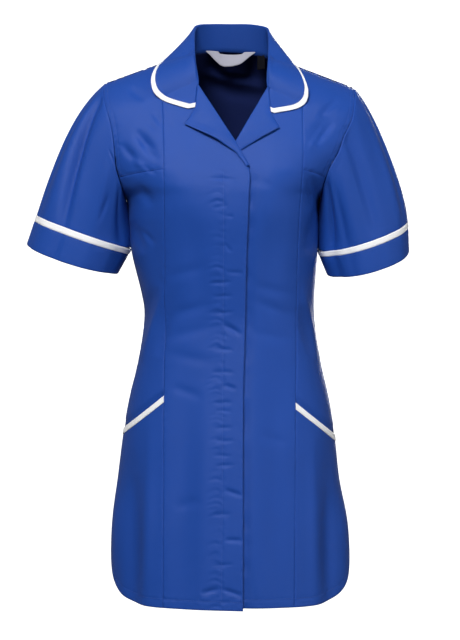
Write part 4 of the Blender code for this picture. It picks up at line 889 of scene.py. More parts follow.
# Finer creases of the worn cloth, with the same columns as the folds; a negative depth stands out
CREASES = {
    FRONT: rows_of(
        Fold,
        (-0.161, -0.137, -0.135, -0.171, 0.0055, 0.003), (-0.151, -0.053, -0.126, -0.073, 0.0055, 0.0028),
        (-0.142, -0.116, -0.104, -0.168, 0.006, 0.0034), (-0.115, -0.09, -0.101, -0.113, 0.0038, 0.0018),
        (-0.121, -0.106, -0.108, -0.124, 0.0032, 0.0014), (-0.126, -0.14, -0.108, -0.158, 0.004, -0.0018),
        (-0.148, -0.158, -0.118, -0.182, 0.0045, -0.002), (-0.132, -0.17, -0.106, -0.186, 0.003, 0.0016),
        (-0.14, -0.196, -0.112, -0.232, 0.008, 0.0032), (-0.146, -0.25, -0.128, -0.3, 0.008, 0.0028),
        (-0.134, -0.262, -0.11, -0.286, 0.004, 0.0016), (-0.095, -0.345, -0.133, -0.462, 0.0055, -0.0034),
        (-0.112, -0.345, -0.146, -0.455, 0.0075, 0.0036), (-0.09, -0.385, -0.108, -0.45, 0.007, 0.0026),
        (0.104, -0.345, 0.13, -0.458, 0.005, -0.0032), (0.099, -0.375, 0.118, -0.45, 0.007, 0.0026),
        (0.118, -0.184, 0.128, -0.228, 0.0034, 0.002), (0.11, -0.192, 0.119, -0.232, 0.0034, 0.0016),
        (0.124, -0.235, 0.112, -0.3, 0.008, 0.003), (0.136, -0.196, 0.122, -0.262, 0.006, 0.0026),
        (0.138, -0.112, 0.112, -0.15, 0.0045, -0.002), (0.16, -0.07, 0.128, -0.098, 0.005, 0.0026),
        (0.152, -0.104, 0.118, -0.142, 0.0055, 0.0032), (-0.062, -0.23, -0.04, -0.39, 0.016, 0.0022),
        (0.066, -0.235, 0.048, -0.395, 0.016, 0.0026), (0.032, -0.192, 0.07, -0.208, 0.006, 0.0009),
        (-0.098, -0.334, -0.03, -0.318, 0.008, 0.001), (-0.098, -0.392, -0.028, -0.372, 0.008, 0.0013),
        (-0.098, -0.424, -0.024, -0.404, 0.0085, 0.0012), (-0.098, -0.444, -0.02, -0.458, 0.0085, 0.0011),
        (0.026, -0.366, 0.096, -0.392, 0.0075, 0.0014), (0.028, -0.346, 0.096, -0.36, 0.0075, 0.0012),
        (0.026, -0.412, 0.09, -0.426, 0.008, 0.0012), (-0.09, -0.492, -0.04, -0.508, 0.007, 0.0012),
        (0.038, -0.56, 0.084, -0.576, 0.008, 0.0012), (-0.084, -0.668, -0.042, -0.654, 0.008, 0.0012),
        (-0.168, -0.56, -0.175, -0.86, 0.0075, -0.004), (0.166, -0.58, 0.172, -0.86, 0.0075, -0.004),
        (-0.146, -0.585, -0.146, -0.88, 0.011, 0.0056), (0.143, -0.56, 0.148, -0.88, 0.012, 0.006),
        (-0.118, -0.53, -0.124, -0.86, 0.0085, -0.003), (0.118, -0.54, 0.122, -0.86, 0.0085, -0.0032),
        (-0.062, -0.43, -0.078, -0.86, 0.02, 0.004), (0.058, -0.42, 0.07, -0.86, 0.019, 0.0042),
        (-0.034, -0.48, -0.044, -0.86, 0.014, -0.0022), (0.034, -0.5, 0.04, -0.86, 0.013, -0.002),
    ),
    BACK: rows_of(
        Fold,
        (-0.064, -0.006, 0.064, -0.04, 0.007, 0.0105), (-0.052, -0.03, 0.056, -0.058, 0.009, -0.005),
        (-0.16, -0.15, -0.112, -0.198, 0.007, 0.0036), (0.156, -0.146, 0.11, -0.196, 0.007, 0.0036),
        (-0.146, -0.196, -0.096, -0.232, 0.0075, 0.0032), (0.142, -0.188, 0.1, -0.24, 0.0065, 0.003),
        (-0.14, -0.082, -0.104, -0.122, 0.0065, 0.0028), (0.142, -0.078, 0.106, -0.12, 0.0065, 0.0028),
        (-0.122, -0.272, -0.05, -0.356, 0.0095, 0.0044), (0.124, -0.284, 0.046, -0.352, 0.009, 0.0042),
        (-0.126, -0.348, -0.036, -0.398, 0.008, 0.0042), (0.122, -0.358, 0.03, -0.412, 0.008, 0.0042),
        (-0.1, -0.318, -0.02, -0.366, 0.006, -0.0022), (0.096, -0.33, 0.012, -0.378, 0.006, -0.0022),
        (-0.118, -0.436, -0.048, -0.42, 0.008, 0.0034), (0.116, -0.448, 0.05, -0.428, 0.008, 0.0032),
        (-0.02, -0.13, -0.03, -0.33, 0.018, 0.003), (0.028, -0.15, 0.02, -0.33, 0.016, 0.0028),
        (-0.098, -0.5, -0.11, -0.86, 0.012, -0.0042), (0.1, -0.51, 0.112, -0.86, 0.012, -0.004),
        (-0.026, -0.52, -0.034, -0.86, 0.016, 0.0046), (0.032, -0.54, 0.04, -0.86, 0.015, 0.0042),
        (0.003, -0.47, 0.002, -0.86, 0.013, -0.0024), (-0.152, -0.56, -0.164, -0.86, 0.009, -0.003),
        (0.15, -0.57, 0.162, -0.86, 0.009, -0.003),
    ),
}

# Short marks across the placket, where its fastening draws the cloth: ends, half width and depth
MARKS = rows_of(
    Fold,
    (-0.034, -0.192, 0.006, -0.193, 0.0028, 0.0012), (-0.03, -0.234, -0.004, -0.231, 0.0027, 0.001),
    (-0.007, -0.246, 0.004, -0.247, 0.0024, 0.0009), (-0.01, -0.285, 0.001, -0.299, 0.0027, 0.001),
    (-0.007, -0.327, 0.018, -0.328, 0.0027, 0.001), (-0.032, -0.343, 0.002, -0.341, 0.0027, 0.001),
    (-0.028, -0.362, 0.004, -0.361, 0.0027, 0.001), (-0.03, -0.387, 0.006, -0.384, 0.0027, 0.001),
    (-0.014, -0.4, 0.016, -0.418, 0.0041, 0.0025), (-0.026, -0.438, 0.004, -0.439, 0.0027, 0.0012),
    (-0.03, -0.471, 0.006, -0.472, 0.0027, 0.001), (-0.014, -0.489, 0.008, -0.496, 0.0032, 0.0018),
    (-0.026, -0.516, 0.004, -0.515, 0.0027, 0.001), (-0.024, -0.527, 0.002, -0.528, 0.0024, 0.0009),
    (-0.026, -0.552, 0.004, -0.551, 0.0027, 0.001), (-0.024, -0.571, 0.006, -0.57, 0.0027, 0.001),
    (-0.028, -0.591, 0.002, -0.592, 0.0024, 0.0009), (-0.024, -0.606, 0.006, -0.605, 0.0027, 0.001),
    (-0.011, -0.64, 0.018, -0.65, 0.0035, 0.0021), (-0.028, -0.676, 0.002, -0.675, 0.0027, 0.0009),
    (-0.011, -0.712, 0.018, -0.713, 0.0032, 0.0018), (-0.026, -0.748, 0.004, -0.747, 0.0027, 0.0009),
    (-0.044, -0.789, -0.016, -0.781, 0.0035, 0.0021), (-0.018, -0.781, 0.019, -0.793, 0.0035, 0.0021),
)
PLACKET_LINE = (-0.0105, -0.0135)  # the placket's stitches at its top and at the hem
PLACKET_HEM_Z = -0.830
SIDE_MARK_SPACE = 0.0052  # about half the distance between the small drag marks beside the placket's stitches
SIDE_MARK_DEPTH = 0.0009
SIDE_MARK_REACH = 0.0095
SIDE_MARK_GROUP = 0.034  # the marks are deep and shallow by turns over this height
SIDE_MARK_SLANT = 0.35
UNDER_DIP, UNDER_DIP_REACH = 0.0034, 0.0075  # the under front falls back beside the placket's edge

# Creases of the sleeves by shares round the arm, from its top over the front, and down from the armhole
SleeveCrease = collections.namedtuple("SleeveCrease", "around0 along0 around1 along1 half_width depth")
SLEEVE_CREASES = {
    RIGHT: rows_of(
        SleeveCrease,
        (0.11, -0.1, 0.2, 1.14, 0.019, 0.0115), (0.49, -0.25, 0.49, 1.45, 0.07, -0.0066),
        (0.288, 0.2, 0.3, 1.12, 0.028, -0.0034), (0.258, 0.15, 0.345, -0.02, 0.008, 0.0024),
        (0.33, 0.42, 0.3, 0.86, 0.009, 0.0022), (0.395, 0.0, 0.415, 1.05, 0.024, 0.0062),
        (0.095, 0.1, 0.12, 1.1, 0.026, -0.003), (0.04, -0.1, 0.06, 1.1, 0.02, 0.003),
        (0.7, 0.0, 0.74, 1.12, 0.024, 0.0066), (0.82, 0.05, 0.79, 1.12, 0.02, 0.0046),
        (0.6, 0.0, 0.615, 0.95, 0.022, 0.0044), (0.765, 0.2, 0.77, 1.12, 0.018, -0.0034),
        (0.9, 0.0, 0.93, 0.9, 0.02, 0.003),
    ),
    LEFT: rows_of(
        SleeveCrease,
        (0.372, -0.08, 0.392, 1.12, 0.024, 0.008), (0.49, -0.25, 0.49, 1.45, 0.07, -0.0066),
        (0.3, 0.15, 0.285, 1.12, 0.024, -0.004), (0.238, -0.1, 0.205, 1.1, 0.02, 0.0054),
        (0.105, 0.15, 0.11, 1.1, 0.026, -0.0028), (0.335, 0.2, 0.318, 1.05, 0.01, 0.0026),
        (0.04, -0.05, 0.07, 1.0, 0.02, 0.0028), (0.7, 0.0, 0.725, 1.12, 0.024, 0.0064),
        (0.83, 0.05, 0.8, 1.12, 0.02, 0.0046), (0.605, 0.0, 0.625, 0.95, 0.022, 0.0044),
        (0.77, 0.2, 0.765, 1.12, 0.018, -0.0034), (0.905, 0.0, 0.925, 0.9, 0.02, 0.003),
    ),
}

# Labels inside the back neck: heights of the loop label's upper and lower edge across the neck
LabelEdge = collections.namedtuple("LabelEdge", "x top bottom")
LABEL_EDGES = rows_of(
    LabelEdge,
    (-0.0375, 0.0142, 0.0132), (-0.031, 0.0146, 0.0075), (-0.0246, 0.0146, 0.0006),
    (-0.0195, 0.0144, -0.004), (-0.0165, 0.011, -0.0068), (-0.01, 0.01, -0.0092), (0.002, 0.0096, -0.0084),
    (0.012, 0.01, -0.0058), (0.0165, 0.0104, -0.0038), (0.02, 0.0132, -0.0012), (0.028, 0.013, 0.0058),
    (0.0363, 0.0124, 0.0112),
)
LABEL_WALL = 0.0010
LABEL_STANDOFF = 0.0012  # both hang this far from the back's inner face
LABEL_CURVE = 0.0050  # and the middle of the loop label this much further
TAG_PLACE = (0.0400, 0.0505)  # sides of the small tag
TAG_REACH = (-0.0155, 0.0060)  # its lower and its upper edge
TAG_FLARE = 0.0012  # its lower edge stands off this much more

# Lift of the free lower edges of the revers: height, reach in from the edge and share of their length
LAPEL_LIFT = {RIGHT: 0.0046, LEFT: 0.0022}
LAPEL_LIFT_REACH = 0.013
LAPEL_LIFT_PLACE = 0.60
LAPEL_LIFT_SPREAD = 0.17

# Relief of sewn cloth
ROLL_DEPTH, ROLL_WIDTH = 0.0007, 0.0026  # an edge rolls in beside a seam
PUCKER_DEPTH, PUCKER_REACH, PUCKER_SIZE = 0.0005, 0.0060, 0.0065
GROOVE_DEPTH, GROOVE_WIDTH = 0.0004, 0.0016  # dip under a row of stitches
SLACK_DEPTH, SLACK_SIZE = 0.0011, 0.055  # slow unevenness of all the worn cloth
SETTLE_REACH = 0.010  # creases end this near to a seam where the cloth turns
SLEEVE_SETTLE = 0.005
SEAM_LAP = 0.0001  # sewn edges meet with this much cloth over each other
SHOULDER_LAP = 0.0010  # and at the shoulders, where two faces meet in a ridge, with this much
LAPEL_WALL = 0.0016  # the revers are double, with a facing
HEM_DEPTH = 0.0130  # height of the turned hem
# The under front hangs a little shorter, and both hems rise towards the sides: at the front edge and at the
# princess seam, and the shares of the pieces' heights over which they do
HEM_RISES = {RIGHT: (0.0, 0.0030), LEFT: (0.0032, 0.0042)}
HEM_EASE = (0.07, 0.24)
ARMHOLE_LINES = (0.0018, 0.0068)  # two rows of stitches beside each armhole
EDGE_LINE = 0.0018  # one row beside a binding or a seam
CUFF_LINE = 0.0030
COLLAR_LINE = 0.0016
COLLAR_BINDING = 0.0080  # even width of the collar's binding
FALL_STEPS = 24
STAND_FOOT = 0.027  # share of the collar's height over which the foot of the stand reaches into the neck
STAND_DROP = 0.0035
STAND_SHADE = 0.66  # the inner face of the stand is darker, in the shade of the neck

FINE, WIDE, BROAD = 0.0016, 0.0025, 0.0031  # distances between grid lines
EDGE_STEPS = (0.0005, 0.0012)  # further grid lines beside each edge
# Widths and heights of the pieces, for the number of their grid lines
FRONT_WIDTH, CHEST_WIDTH, SIDE_WIDTH, BACK_WIDTH = 0.100, 0.080, 0.095, 0.480
POCKET_HEIGHT, SLEEVE_LENGTH, BAND_HEIGHT, CUFF_HEIGHT = 0.270, 0.200, 0.0095, 0.034
LAPEL_WIDTH, FALL_HEIGHT, BINDING_HEIGHT = 0.045, 0.040, 0.0090
ARM_STEPS, COLLAR_STEPS = 150, 260

# Textures of the woven cloth
LINES_SCALE = 0.314  # of a wave texture with one line in each metre
SLOW_SCALE, FLECK_SCALE = 16.0, 900.0  # of its slow and its fine colour changes
LINES_BEND = 0.6
WEAVE_STRENGTH = 0.55
SHEEN_ROUGHNESS = 0.55
ROUGHNESS_SPREAD = (-0.05, 0.07)
SATIN_WEAVE, THREAD_WEAVE = 0.0004, 0.0005
Look = collections.namedtuple("Look", "roughness sheen specular variation relief", defaults=(0.10, 0.00010))
LOOKS = {
    "blue_twill": Look(0.47, 0.01, 0.24),
    "blue_twill_reverse": Look(0.90, 0.0, 0.10),
    "blue_twill_stand": Look(0.70, 0.0, 0.15),
    "white_binding": Look(0.72, 0.30, 0.30, 0.05),
    "blue_thread": Look(0.62, 0.10, 0.35, relief=0.00005),
    "white_thread": Look(0.60, 0.05, 0.35, 0.04, 0.00005),
    "grey_satin": Look(0.55, 0.10, 0.35, 0.05),
    "black_satin": Look(0.70, 0.0, 0.10, 0.20),
}

# Smaller measures of the relief
PUCKER_SEED, SIDE_MARK_SEED, UNDER_DIP_SEED, SIDE_GROUP_SEED, SLACK_SEED = 3.0, 5.0, 7.0, 8.0, 11.0
SLACK_STRETCH = (1.0, 1.0, 0.55)  # its rises are taller than they are wide
SIDE_MARK_STRETCH = (0.12, 0.10, 1.0)  # and the drag marks much wider than they are tall
SIDE_GROUP_LOW, SIDE_GROUP_RISE = 0.7, 1.6
PLACKET_FADE = 0.01
UNDER_DIP_ASIDE, UNDER_DIP_FADE, UNDER_DIP_SIZE = 0.002, 0.02, 0.02
COLLAR_SLACK, LABEL_ROLL, BINDING_PUCKER = 0.6, 0.4, 0.4  # shares of the usual relief
POCKET_BINDING_LIFT = 0.0004
POCKET_SEWN, COLLAR_SEWN = (0.02, 0.98), (0.01, 0.99)  # where the bindings' rows of stitches start and end
STAND_DROP_WAY = Vector((0.0, 0.3, 1.0))
LABEL_GRID, TAG_GRID = (74, 14), (10, 16)
TAG_SHADE = 0.5
THREAD_SIDES = 5
THREAD_PROUD = 0.7  # its middle stands this share of its radius above the cloth

# Cut of what shows of each piece: width, length and area
Cut = collections.namedtuple("Cut", "width length area held rests_on")
CUTS = {
    "front_right": Cut(0.126, 0.880, 0.0925, "hung", ("back", "front_left")),
    "front_left": Cut(0.125, 0.872, 0.0885, "hung", ("back",)),
    "chest_right": Cut(0.096, 0.208, 0.0168, "hung", ("front_right", "back")),
    "chest_left": Cut(0.092, 0.201, 0.0137, "hung", ("front_left", "back")),
    "side_front_right": Cut(0.134, 0.500, 0.0500, "hung", ("chest_right", "front_right", "back")),
    "side_front_left": Cut(0.134, 0.496, 0.0455, "hung", ("chest_left", "front_left", "back")),
    "pocket_front_right": Cut(0.187, 0.298, 0.0342, "hung", ("side_front_right", "front_right", "back")),
    "pocket_front_left": Cut(0.193, 0.288, 0.0334, "hung", ("side_front_left", "front_left", "back")),
    "pocket_binding_right": Cut(0.135, 0.010, 0.0012, "folded", ("pocket_front_right",)),
    "pocket_binding_left": Cut(0.135, 0.010, 0.0012, "folded", ("pocket_front_left",)),
    "back": Cut(0.564, 0.876, 0.3360, "hung", ("front_right", "front_left", "chest_right", "chest_left")),
    "sleeve_right": Cut(0.517, 0.222, 0.0590, "hung", ("back", "chest_right", "side_front_right")),
    "sleeve_left": Cut(0.519, 0.215, 0.0576, "hung", ("back", "chest_left", "side_front_left")),
    "cuff_band_right": Cut(0.410, 0.010, 0.0037, "folded", ("sleeve_right",)),
    "cuff_band_left": Cut(0.396, 0.010, 0.0035, "folded", ("sleeve_left",)),
    "cuff_right": Cut(0.406, 0.040, 0.0141, "folded", ("cuff_band_right",)),
    "cuff_left": Cut(0.390, 0.038, 0.0130, "folded", ("cuff_band_left",)),
    "lapel_right": Cut(0.053, 0.184, 0.0038, "folded", ("front_right",)),
    "lapel_left": Cut(0.050, 0.150, 0.0033, "folded", ("front_left",)),
    "collar": Cut(0.605, 0.119, 0.0379, "folded", ("back", "front_right", "front_left")),
    "collar_binding": Cut(0.632, 0.010, 0.0044, "folded", ("collar",)),
    "neck_label": Cut(0.090, 0.020, 0.0011, "hung", ("back",)),
    "size_tag": Cut(0.015, 0.022, 0.0003, "hung", ("back",)),
}

Sheet = collections.namedtuple("Sheet", "piece points normals first_column last_column first_row last_row")


class TunicSizes(bpy.types.PropertyGroup):
    """Sizes of the cloth and the stitching."""

    cloth: bpy.props.FloatProperty(
        name="Cloth", description="Wall of the main cloth",
        default=CLOTH, min=0.0008, max=0.003, unit="LENGTH"
    )
    trim: bpy.props.FloatProperty(
        name="Trim", description="Wall of the white bindings",
        default=TRIM, min=0.001, max=0.003, unit="LENGTH"
    )
    weave: bpy.props.FloatProperty(
        name="Weave", description="From one twill line to the next",
        default=0.0007, precision=5, unit="LENGTH"
    )
    stitch: bpy.props.FloatProperty(
        name="Stitch", description="Length of one stitch", default=0.0025, precision=4, unit="LENGTH"
    )
    stitch_gap: bpy.props.FloatProperty(
        name="Stitch gap", description="From one stitch to the next",
        default=0.0007, precision=4, unit="LENGTH"
    )
    thread: bpy.props.FloatProperty(
        name="Thread", description="Thickness of the thread", default=0.0004, precision=5, unit="LENGTH"
    )


class TunicColours(bpy.types.PropertyGroup):
    """Colours of the cloth, the trims and the studio."""

    cloth: bpy.props.FloatVectorProperty(
        name="Cloth", description="Main cloth", default=(0.010, 0.064, 0.352),
        subtype="COLOR", min=0.0, max=1.0,
    )
    # Partly painted shade: the reverse is much darker than the cloth, partly the twill's reverse tone and
    # partly the shade inside the neck.
    reverse: bpy.props.FloatVectorProperty(
        name="Reverse", description="Reverse of the back", default=(0.0065, 0.0135, 0.0720),
        subtype="COLOR", min=0.0, max=1.0,
    )
    trim: bpy.props.FloatVectorProperty(
        name="Trim", description="White bindings", default=(0.97, 0.975, 0.99),
        subtype="COLOR", min=0.0, max=1.0,
    )
    label: bpy.props.FloatVectorProperty(
        name="Label", description="Loop label", default=(0.42, 0.42, 0.50),
        subtype="COLOR", min=0.0, max=1.0,
    )
    tag: bpy.props.FloatVectorProperty(
        name="Tag", description="Small tag", default=(0.012, 0.012, 0.018),
        subtype="COLOR", min=0.0, max=1.0,
    )
    thread: bpy.props.FloatVectorProperty(
        name="Thread", description="Blue thread", default=(0.022, 0.085, 0.400),
        subtype="COLOR", min=0.0, max=1.0,
    )
    floor: bpy.props.FloatVectorProperty(
        name="Floor", description="Floor and backdrop", default=(0.90, 0.90, 0.90),
        subtype="COLOR", min=0.0, max=1.0,
    )


def sizes():
    """The user's sizes."""
    return bpy.context.scene.tunic_sizes


def colours():
    """The user's colours."""
    return bpy.context.scene.tunic_colours


def add_node(tree, kind, inputs=None, **settings):
    """A shader node with its settings and its input values or links."""
    node = tree.nodes.new(kind)
    for name, value in settings.items():
        setattr(node, name, value)
    for name, value in (inputs or {}).items():
        if isinstance(value, bpy.types.NodeSocket):
            tree.links.new(value, node.inputs[name])
        else:
            node.inputs[name].default_value = value
    return node


def shade(colour, factor):
    """A darker or lighter colour with full cover."""
    return (*[min(part * factor, 1.0) for part in colour], 1.0)


def start_material(name):
    """A new material with its node tree and shader."""
    material = bpy.data.materials.new(name)
    material.use_nodes = True
    tree = material.node_tree
    return material, tree, tree.nodes["Principled BSDF"]


def woven(name, colour, weave, diagonal=True):
    """Woven cloth: yarn lines that follow the piece, slow and fine colour changes and a low sheen."""
    if name in bpy.data.materials:
        return bpy.data.materials[name]
    look = LOOKS[name]
    material, tree, shader = start_material(name)
    place = add_node(tree, "ShaderNodeTexCoord")
    body, cloth = place.outputs["Object"], place.outputs["UV"]
    scale = LINES_SCALE * (2.0 if diagonal else 1.0) / weave
    first = add_node(
        tree,
        "ShaderNodeTexWave",
        {"Vector": cloth, "Scale": scale, "Distortion": LINES_BEND},
        bands_direction="DIAGONAL" if diagonal else "Y",
    )
    lines = {"Vector": cloth, "Scale": LINES_SCALE / weave}
    second = add_node(tree, "ShaderNodeTexWave", lines, bands_direction="X")
    crossed = {0: first.outputs["Fac"], 1: second.outputs["Fac"]}
    yarns = add_node(tree, "ShaderNodeMath", crossed, operation="ADD")
    slow = add_node(tree, "ShaderNodeTexNoise", {"Vector": body, "Scale": SLOW_SCALE, "Detail": 4.0})
    flecks = add_node(tree, "ShaderNodeTexNoise", {"Vector": cloth, "Scale": FLECK_SCALE, "Detail": 2.0})
    both = {0: slow.outputs["Fac"], 1: flecks.outputs["Fac"]}
    mixed = add_node(tree, "ShaderNodeMath", both, operation="MULTIPLY")
    tones = add_node(tree, "ShaderNodeMix", {"Factor": mixed.outputs[0]}, data_type="RGBA")
    tree.nodes.active = tones
    tones.inputs[6].default_value = shade(colour, 1.0 - look.variation / 2)
    tones.inputs[7].default_value = shade(colour, 1.0 + look.variation * 1.5)
    low, high = (look.roughness + part for part in ROUGHNESS_SPREAD)
    spread = {"Value": slow.outputs["Fac"], "To Min": low, "To Max": high}
    worn = add_node(tree, "ShaderNodeMapRange", spread)
    raised = {"Height": yarns.outputs[0], "Strength": WEAVE_STRENGTH, "Distance": look.relief}
    bump = add_node(tree, "ShaderNodeBump", raised)
    tree.links.new(tones.outputs[2], shader.inputs["Base Color"])
    tree.links.new(worn.outputs[0], shader.inputs["Roughness"])
    tree.links.new(bump.outputs[0], shader.inputs["Normal"])
    shader.inputs["Specular IOR Level"].default_value = look.specular
    shader.inputs["Sheen Weight"].default_value = look.sheen
    shader.inputs["Sheen Roughness"].default_value = SHEEN_ROUGHNESS
    return material


def blue_cloth():
    """Polyester and cotton twill."""
    return woven("blue_twill", colours().cloth, sizes().weave)


def blue_reverse_painted_shade():
    """Reverse of the same twill, darker: partly its own tone and partly painted shade of the inside of the
    neck.
    """
    return woven("blue_twill_reverse", colours().reverse, sizes().weave)


def blue_stand_painted_shade():
    """The same twill on the inner face of the stand, a little darker: painted shade of the neck."""
    return woven("blue_twill_stand", shade(colours().cloth, STAND_SHADE)[:3], sizes().weave)


def white_trim():
    """White woven binding."""
    return woven("white_binding", colours().trim, sizes().weave, diagonal=False)


def blue_thread():
    """Blue sewing thread."""
    return woven("blue_thread", colours().thread, THREAD_WEAVE)


def white_thread():
    """White sewing thread."""
    return woven("white_thread", colours().trim, THREAD_WEAVE)


def lengths(points, axis):
    """Distance of every grid point from the first one of its row or column."""
    steps = np.linalg.norm(np.diff(points, axis=axis), axis=2)
    start = np.zeros_like(np.take(steps, [0], axis=axis))
    return np.concatenate((start, np.cumsum(steps, axis=axis)), axis=axis)


def outward(points, facing, closed):
    """Directions square to a grid of points."""
    side = np.gradient(points, axis=1)
    if closed:
        side[:, 0] = points[:, 1] - points[:, -2]
        side[:, -1] = side[:, 0]
    normals = np.cross(side, np.gradient(points, axis=0)) * facing
    return normals / np.maximum(np.linalg.norm(normals, axis=2, keepdims=True), 1e-12)


def close_seams(points, closed, lap):
    """Lets the edges of a grid run on a little, so that sewn pieces touch."""
    edges = [(points[0], points[1], SEAM_LAP), (points[-1], points[-2], lap)]
    if not closed:
        edges += [(points[:, 0], points[:, 1], SEAM_LAP), (points[:, -1], points[:, -2], SEAM_LAP)]
    for edge, inner, share in edges:
        way = inner - edge
        edge -= way / np.maximum(np.linalg.norm(way, axis=1, keepdims=True), 1e-9) * share


def grain(points, size, seed):
    """Soft uneven values between -1 and 1 at the points, with rises and hollows of one size."""
    flat = points.reshape(-1, 3) / size + seed
    return np.array([noise.noise(place) for place in flat.tolist()]).reshape(points.shape[:2])


def rolled(distance):
    """How far the cloth rolls in beside an edge."""
    return -ROLL_DEPTH * np.clip(1.0 - distance / ROLL_WIDTH, 0.0, 1.0) ** 2


def puckered(distance, points):
    """Small uneven rises and hollows along a sewn line."""
    return PUCKER_DEPTH * np.exp(-((distance / PUCKER_REACH) ** 2)) * grain(points, PUCKER_SIZE, PUCKER_SEED)


def seamed(distance, points):
    """Relief of cloth beside a seam."""
    return rolled(distance) + puckered(distance, points)


def stitched(distance, points):
    """Relief of cloth along a row of stitches."""
    return puckered(distance, points) - GROOVE_DEPTH * np.exp(-((distance / GROOVE_WIDTH) ** 2))


def slack(points):
    """Slow unevenness of the worn cloth."""
    return SLACK_DEPTH * grain(points * np.array(SLACK_STRETCH), SLACK_SIZE, SLACK_SEED)


def settled(distance, reach=SETTLE_REACH):
    """Share of its creases that the cloth keeps beside a seam."""
    return 1.0 - np.exp(-((distance / reach) ** 2))


def pressed(folds, points):
    """Relief of a table of folds at the points, as seen from the front."""
    x, z = points[:, :, 0], points[:, :, 2]
    total = np.zeros_like(x)
    for fold in folds:
        run_x, run_z = fold.x1 - fold.x0, fold.z1 - fold.z0
        length = math.hypot(run_x, run_z)
        along = np.clip(((x - fold.x0) * run_x + (z - fold.z0) * run_z) / length**2, 0.0, 1.0)
        aside = ((x - fold.x0) * run_z - (z - fold.z0) * run_x) / length
        total -= fold.depth * np.sin(np.pi * along) * np.exp(-((aside / fold.half_width) ** 2))
    return total


def sleeve_relief(hand, across, along):
    """Relief of a sleeve's creases by its own two measures."""
    around, down = np.meshgrid(across, along)
    total = np.zeros_like(around)
    for crease in SLEEVE_CREASES[hand]:
        share = np.clip((down - crease.along0) / (crease.along1 - crease.along0), 0.0, 1.0)
        centre = crease.around0 + (crease.around1 - crease.around0) * share
        aside = (around - centre) / crease.half_width
        total -= crease.depth * np.sin(np.pi * share) * np.exp(-(aside**2))
    return total


def placket_distance(points):
    """Distance of each point from the placket's stitches."""
    share = (points[:, :, 2] - PLACKET_TOP_Z) / (PLACKET_HEM_Z - PLACKET_TOP_Z)
    return points[:, :, 0] - (PLACKET_LINE[0] + (PLACKET_LINE[1] - PLACKET_LINE[0]) * share)


def placket_relief(points):
    """Relief of the placket: its stitches, the marks across it and small drag marks beside it."""
    distance = placket_distance(points)
    below = np.clip((PLACKET_TOP_Z - points[:, :, 2]) / PLACKET_FADE, 0.0, 1.0)
    beside = np.exp(-(((distance + SIDE_MARK_REACH) / SIDE_MARK_REACH) ** 2))
    slanted = points.copy()
    slanted[:, :, 2] += np.abs(distance + SIDE_MARK_REACH) * SIDE_MARK_SLANT
    fine = grain(slanted * np.array(SIDE_MARK_STRETCH), SIDE_MARK_SPACE, SIDE_MARK_SEED)
    slow = grain(points * np.array((0.0, 0.0, 1.0)), SIDE_MARK_GROUP, SIDE_GROUP_SEED)
    drags = SIDE_MARK_DEPTH * beside * fine * (SIDE_GROUP_LOW + SIDE_GROUP_RISE * slow)
    return below * (stitched(distance, points) + drags) + pressed(MARKS, points)


def crowd(places, spacing):
    """Adds the closer grid lines beside both ends."""
    low = [places[1] * step / spacing for step in EDGE_STEPS]
    high = [1.0 - (1.0 - places[-2]) * step / spacing for step in reversed(EDGE_STEPS)]
    return places[:1] + low + places[1:-1] + high + places[-1:]


def columns_of(length, spacing):
    """Even shares over a length, closer together at its ends."""
    return crowd(shares(max(2, round(length / spacing))), spacing)


def body_rows(spacing, low=0.0):
    """Shares of the walls' height for their fine rows, from a share upwards, as shares of what is left."""
    heights = [anchor.edge for anchor in ANCHORS] + [0.0]
    rows, place = [0.0], 0
    for anchor, start, end in zip(ANCHORS, heights, heights[1:]):
        count = math.ceil((end - start) / spacing)
        rows += [(place + anchor.steps * share) / ROWS for share in shares(count)[1:]]
        place += anchor.steps
    left = [0.0] + [(row - low) / (1.0 - low) for row in rows if row > low + 1e-6]
    left[-1] = 1.0
    return crowd(left, spacing)


def level_rows(levels, spacing):
    """Shares of a side front's rows."""
    rows = [0.0]
    for index, (low, high) in enumerate(zip(levels, levels[1:])):
        count = max(1, math.ceil((high.seam - low.seam) / spacing))
        rows += [(index + share) / (len(levels) - 1) for share in shares(count)[1:]]
    return crowd(rows, spacing)


def new_object(name, work):
    """Object with the shape that a bmesh holds."""
    mesh = bpy.data.meshes.new(name)
    work.to_mesh(mesh)
    work.free()
    made = bpy.data.objects.new(name, mesh)
    bpy.context.scene.collection.objects.link(made)
    return made


def lay_grid(name, points, facing, closed, across, along):
    """A mesh on a grid of points, with its own measures as its texture map."""
    rows, columns = points.shape[:2]
    work = bmesh.new()
    bmesh.ops.create_grid(work, x_segments=columns - 1, y_segments=rows - 1, size=1.0)
    places = {}
    for vertex in work.verts:
        column = round((vertex.co.x + 1.0) / 2.0 * (columns - 1))
        row = round((vertex.co.y + 1.0) / 2.0 * (rows - 1))
        places[vertex] = (row, column)
    layer = work.loops.layers.uv.new("UVMap")
    for face in work.faces:
        for loop in face.loops:
            row, column = places[loop.vert]
            loop[layer].uv = (across[row, column], along[row, column])
    for vertex, (row, column) in places.items():
        vertex.co = points[row, column]
    if facing < 0:
        bmesh.ops.reverse_faces(work, faces=work.faces)
    if closed:
        bmesh.ops.remove_doubles(work, verts=work.verts, dist=1e-6)
    for face in work.faces:
        face.smooth = True
    return new_object(name, work)


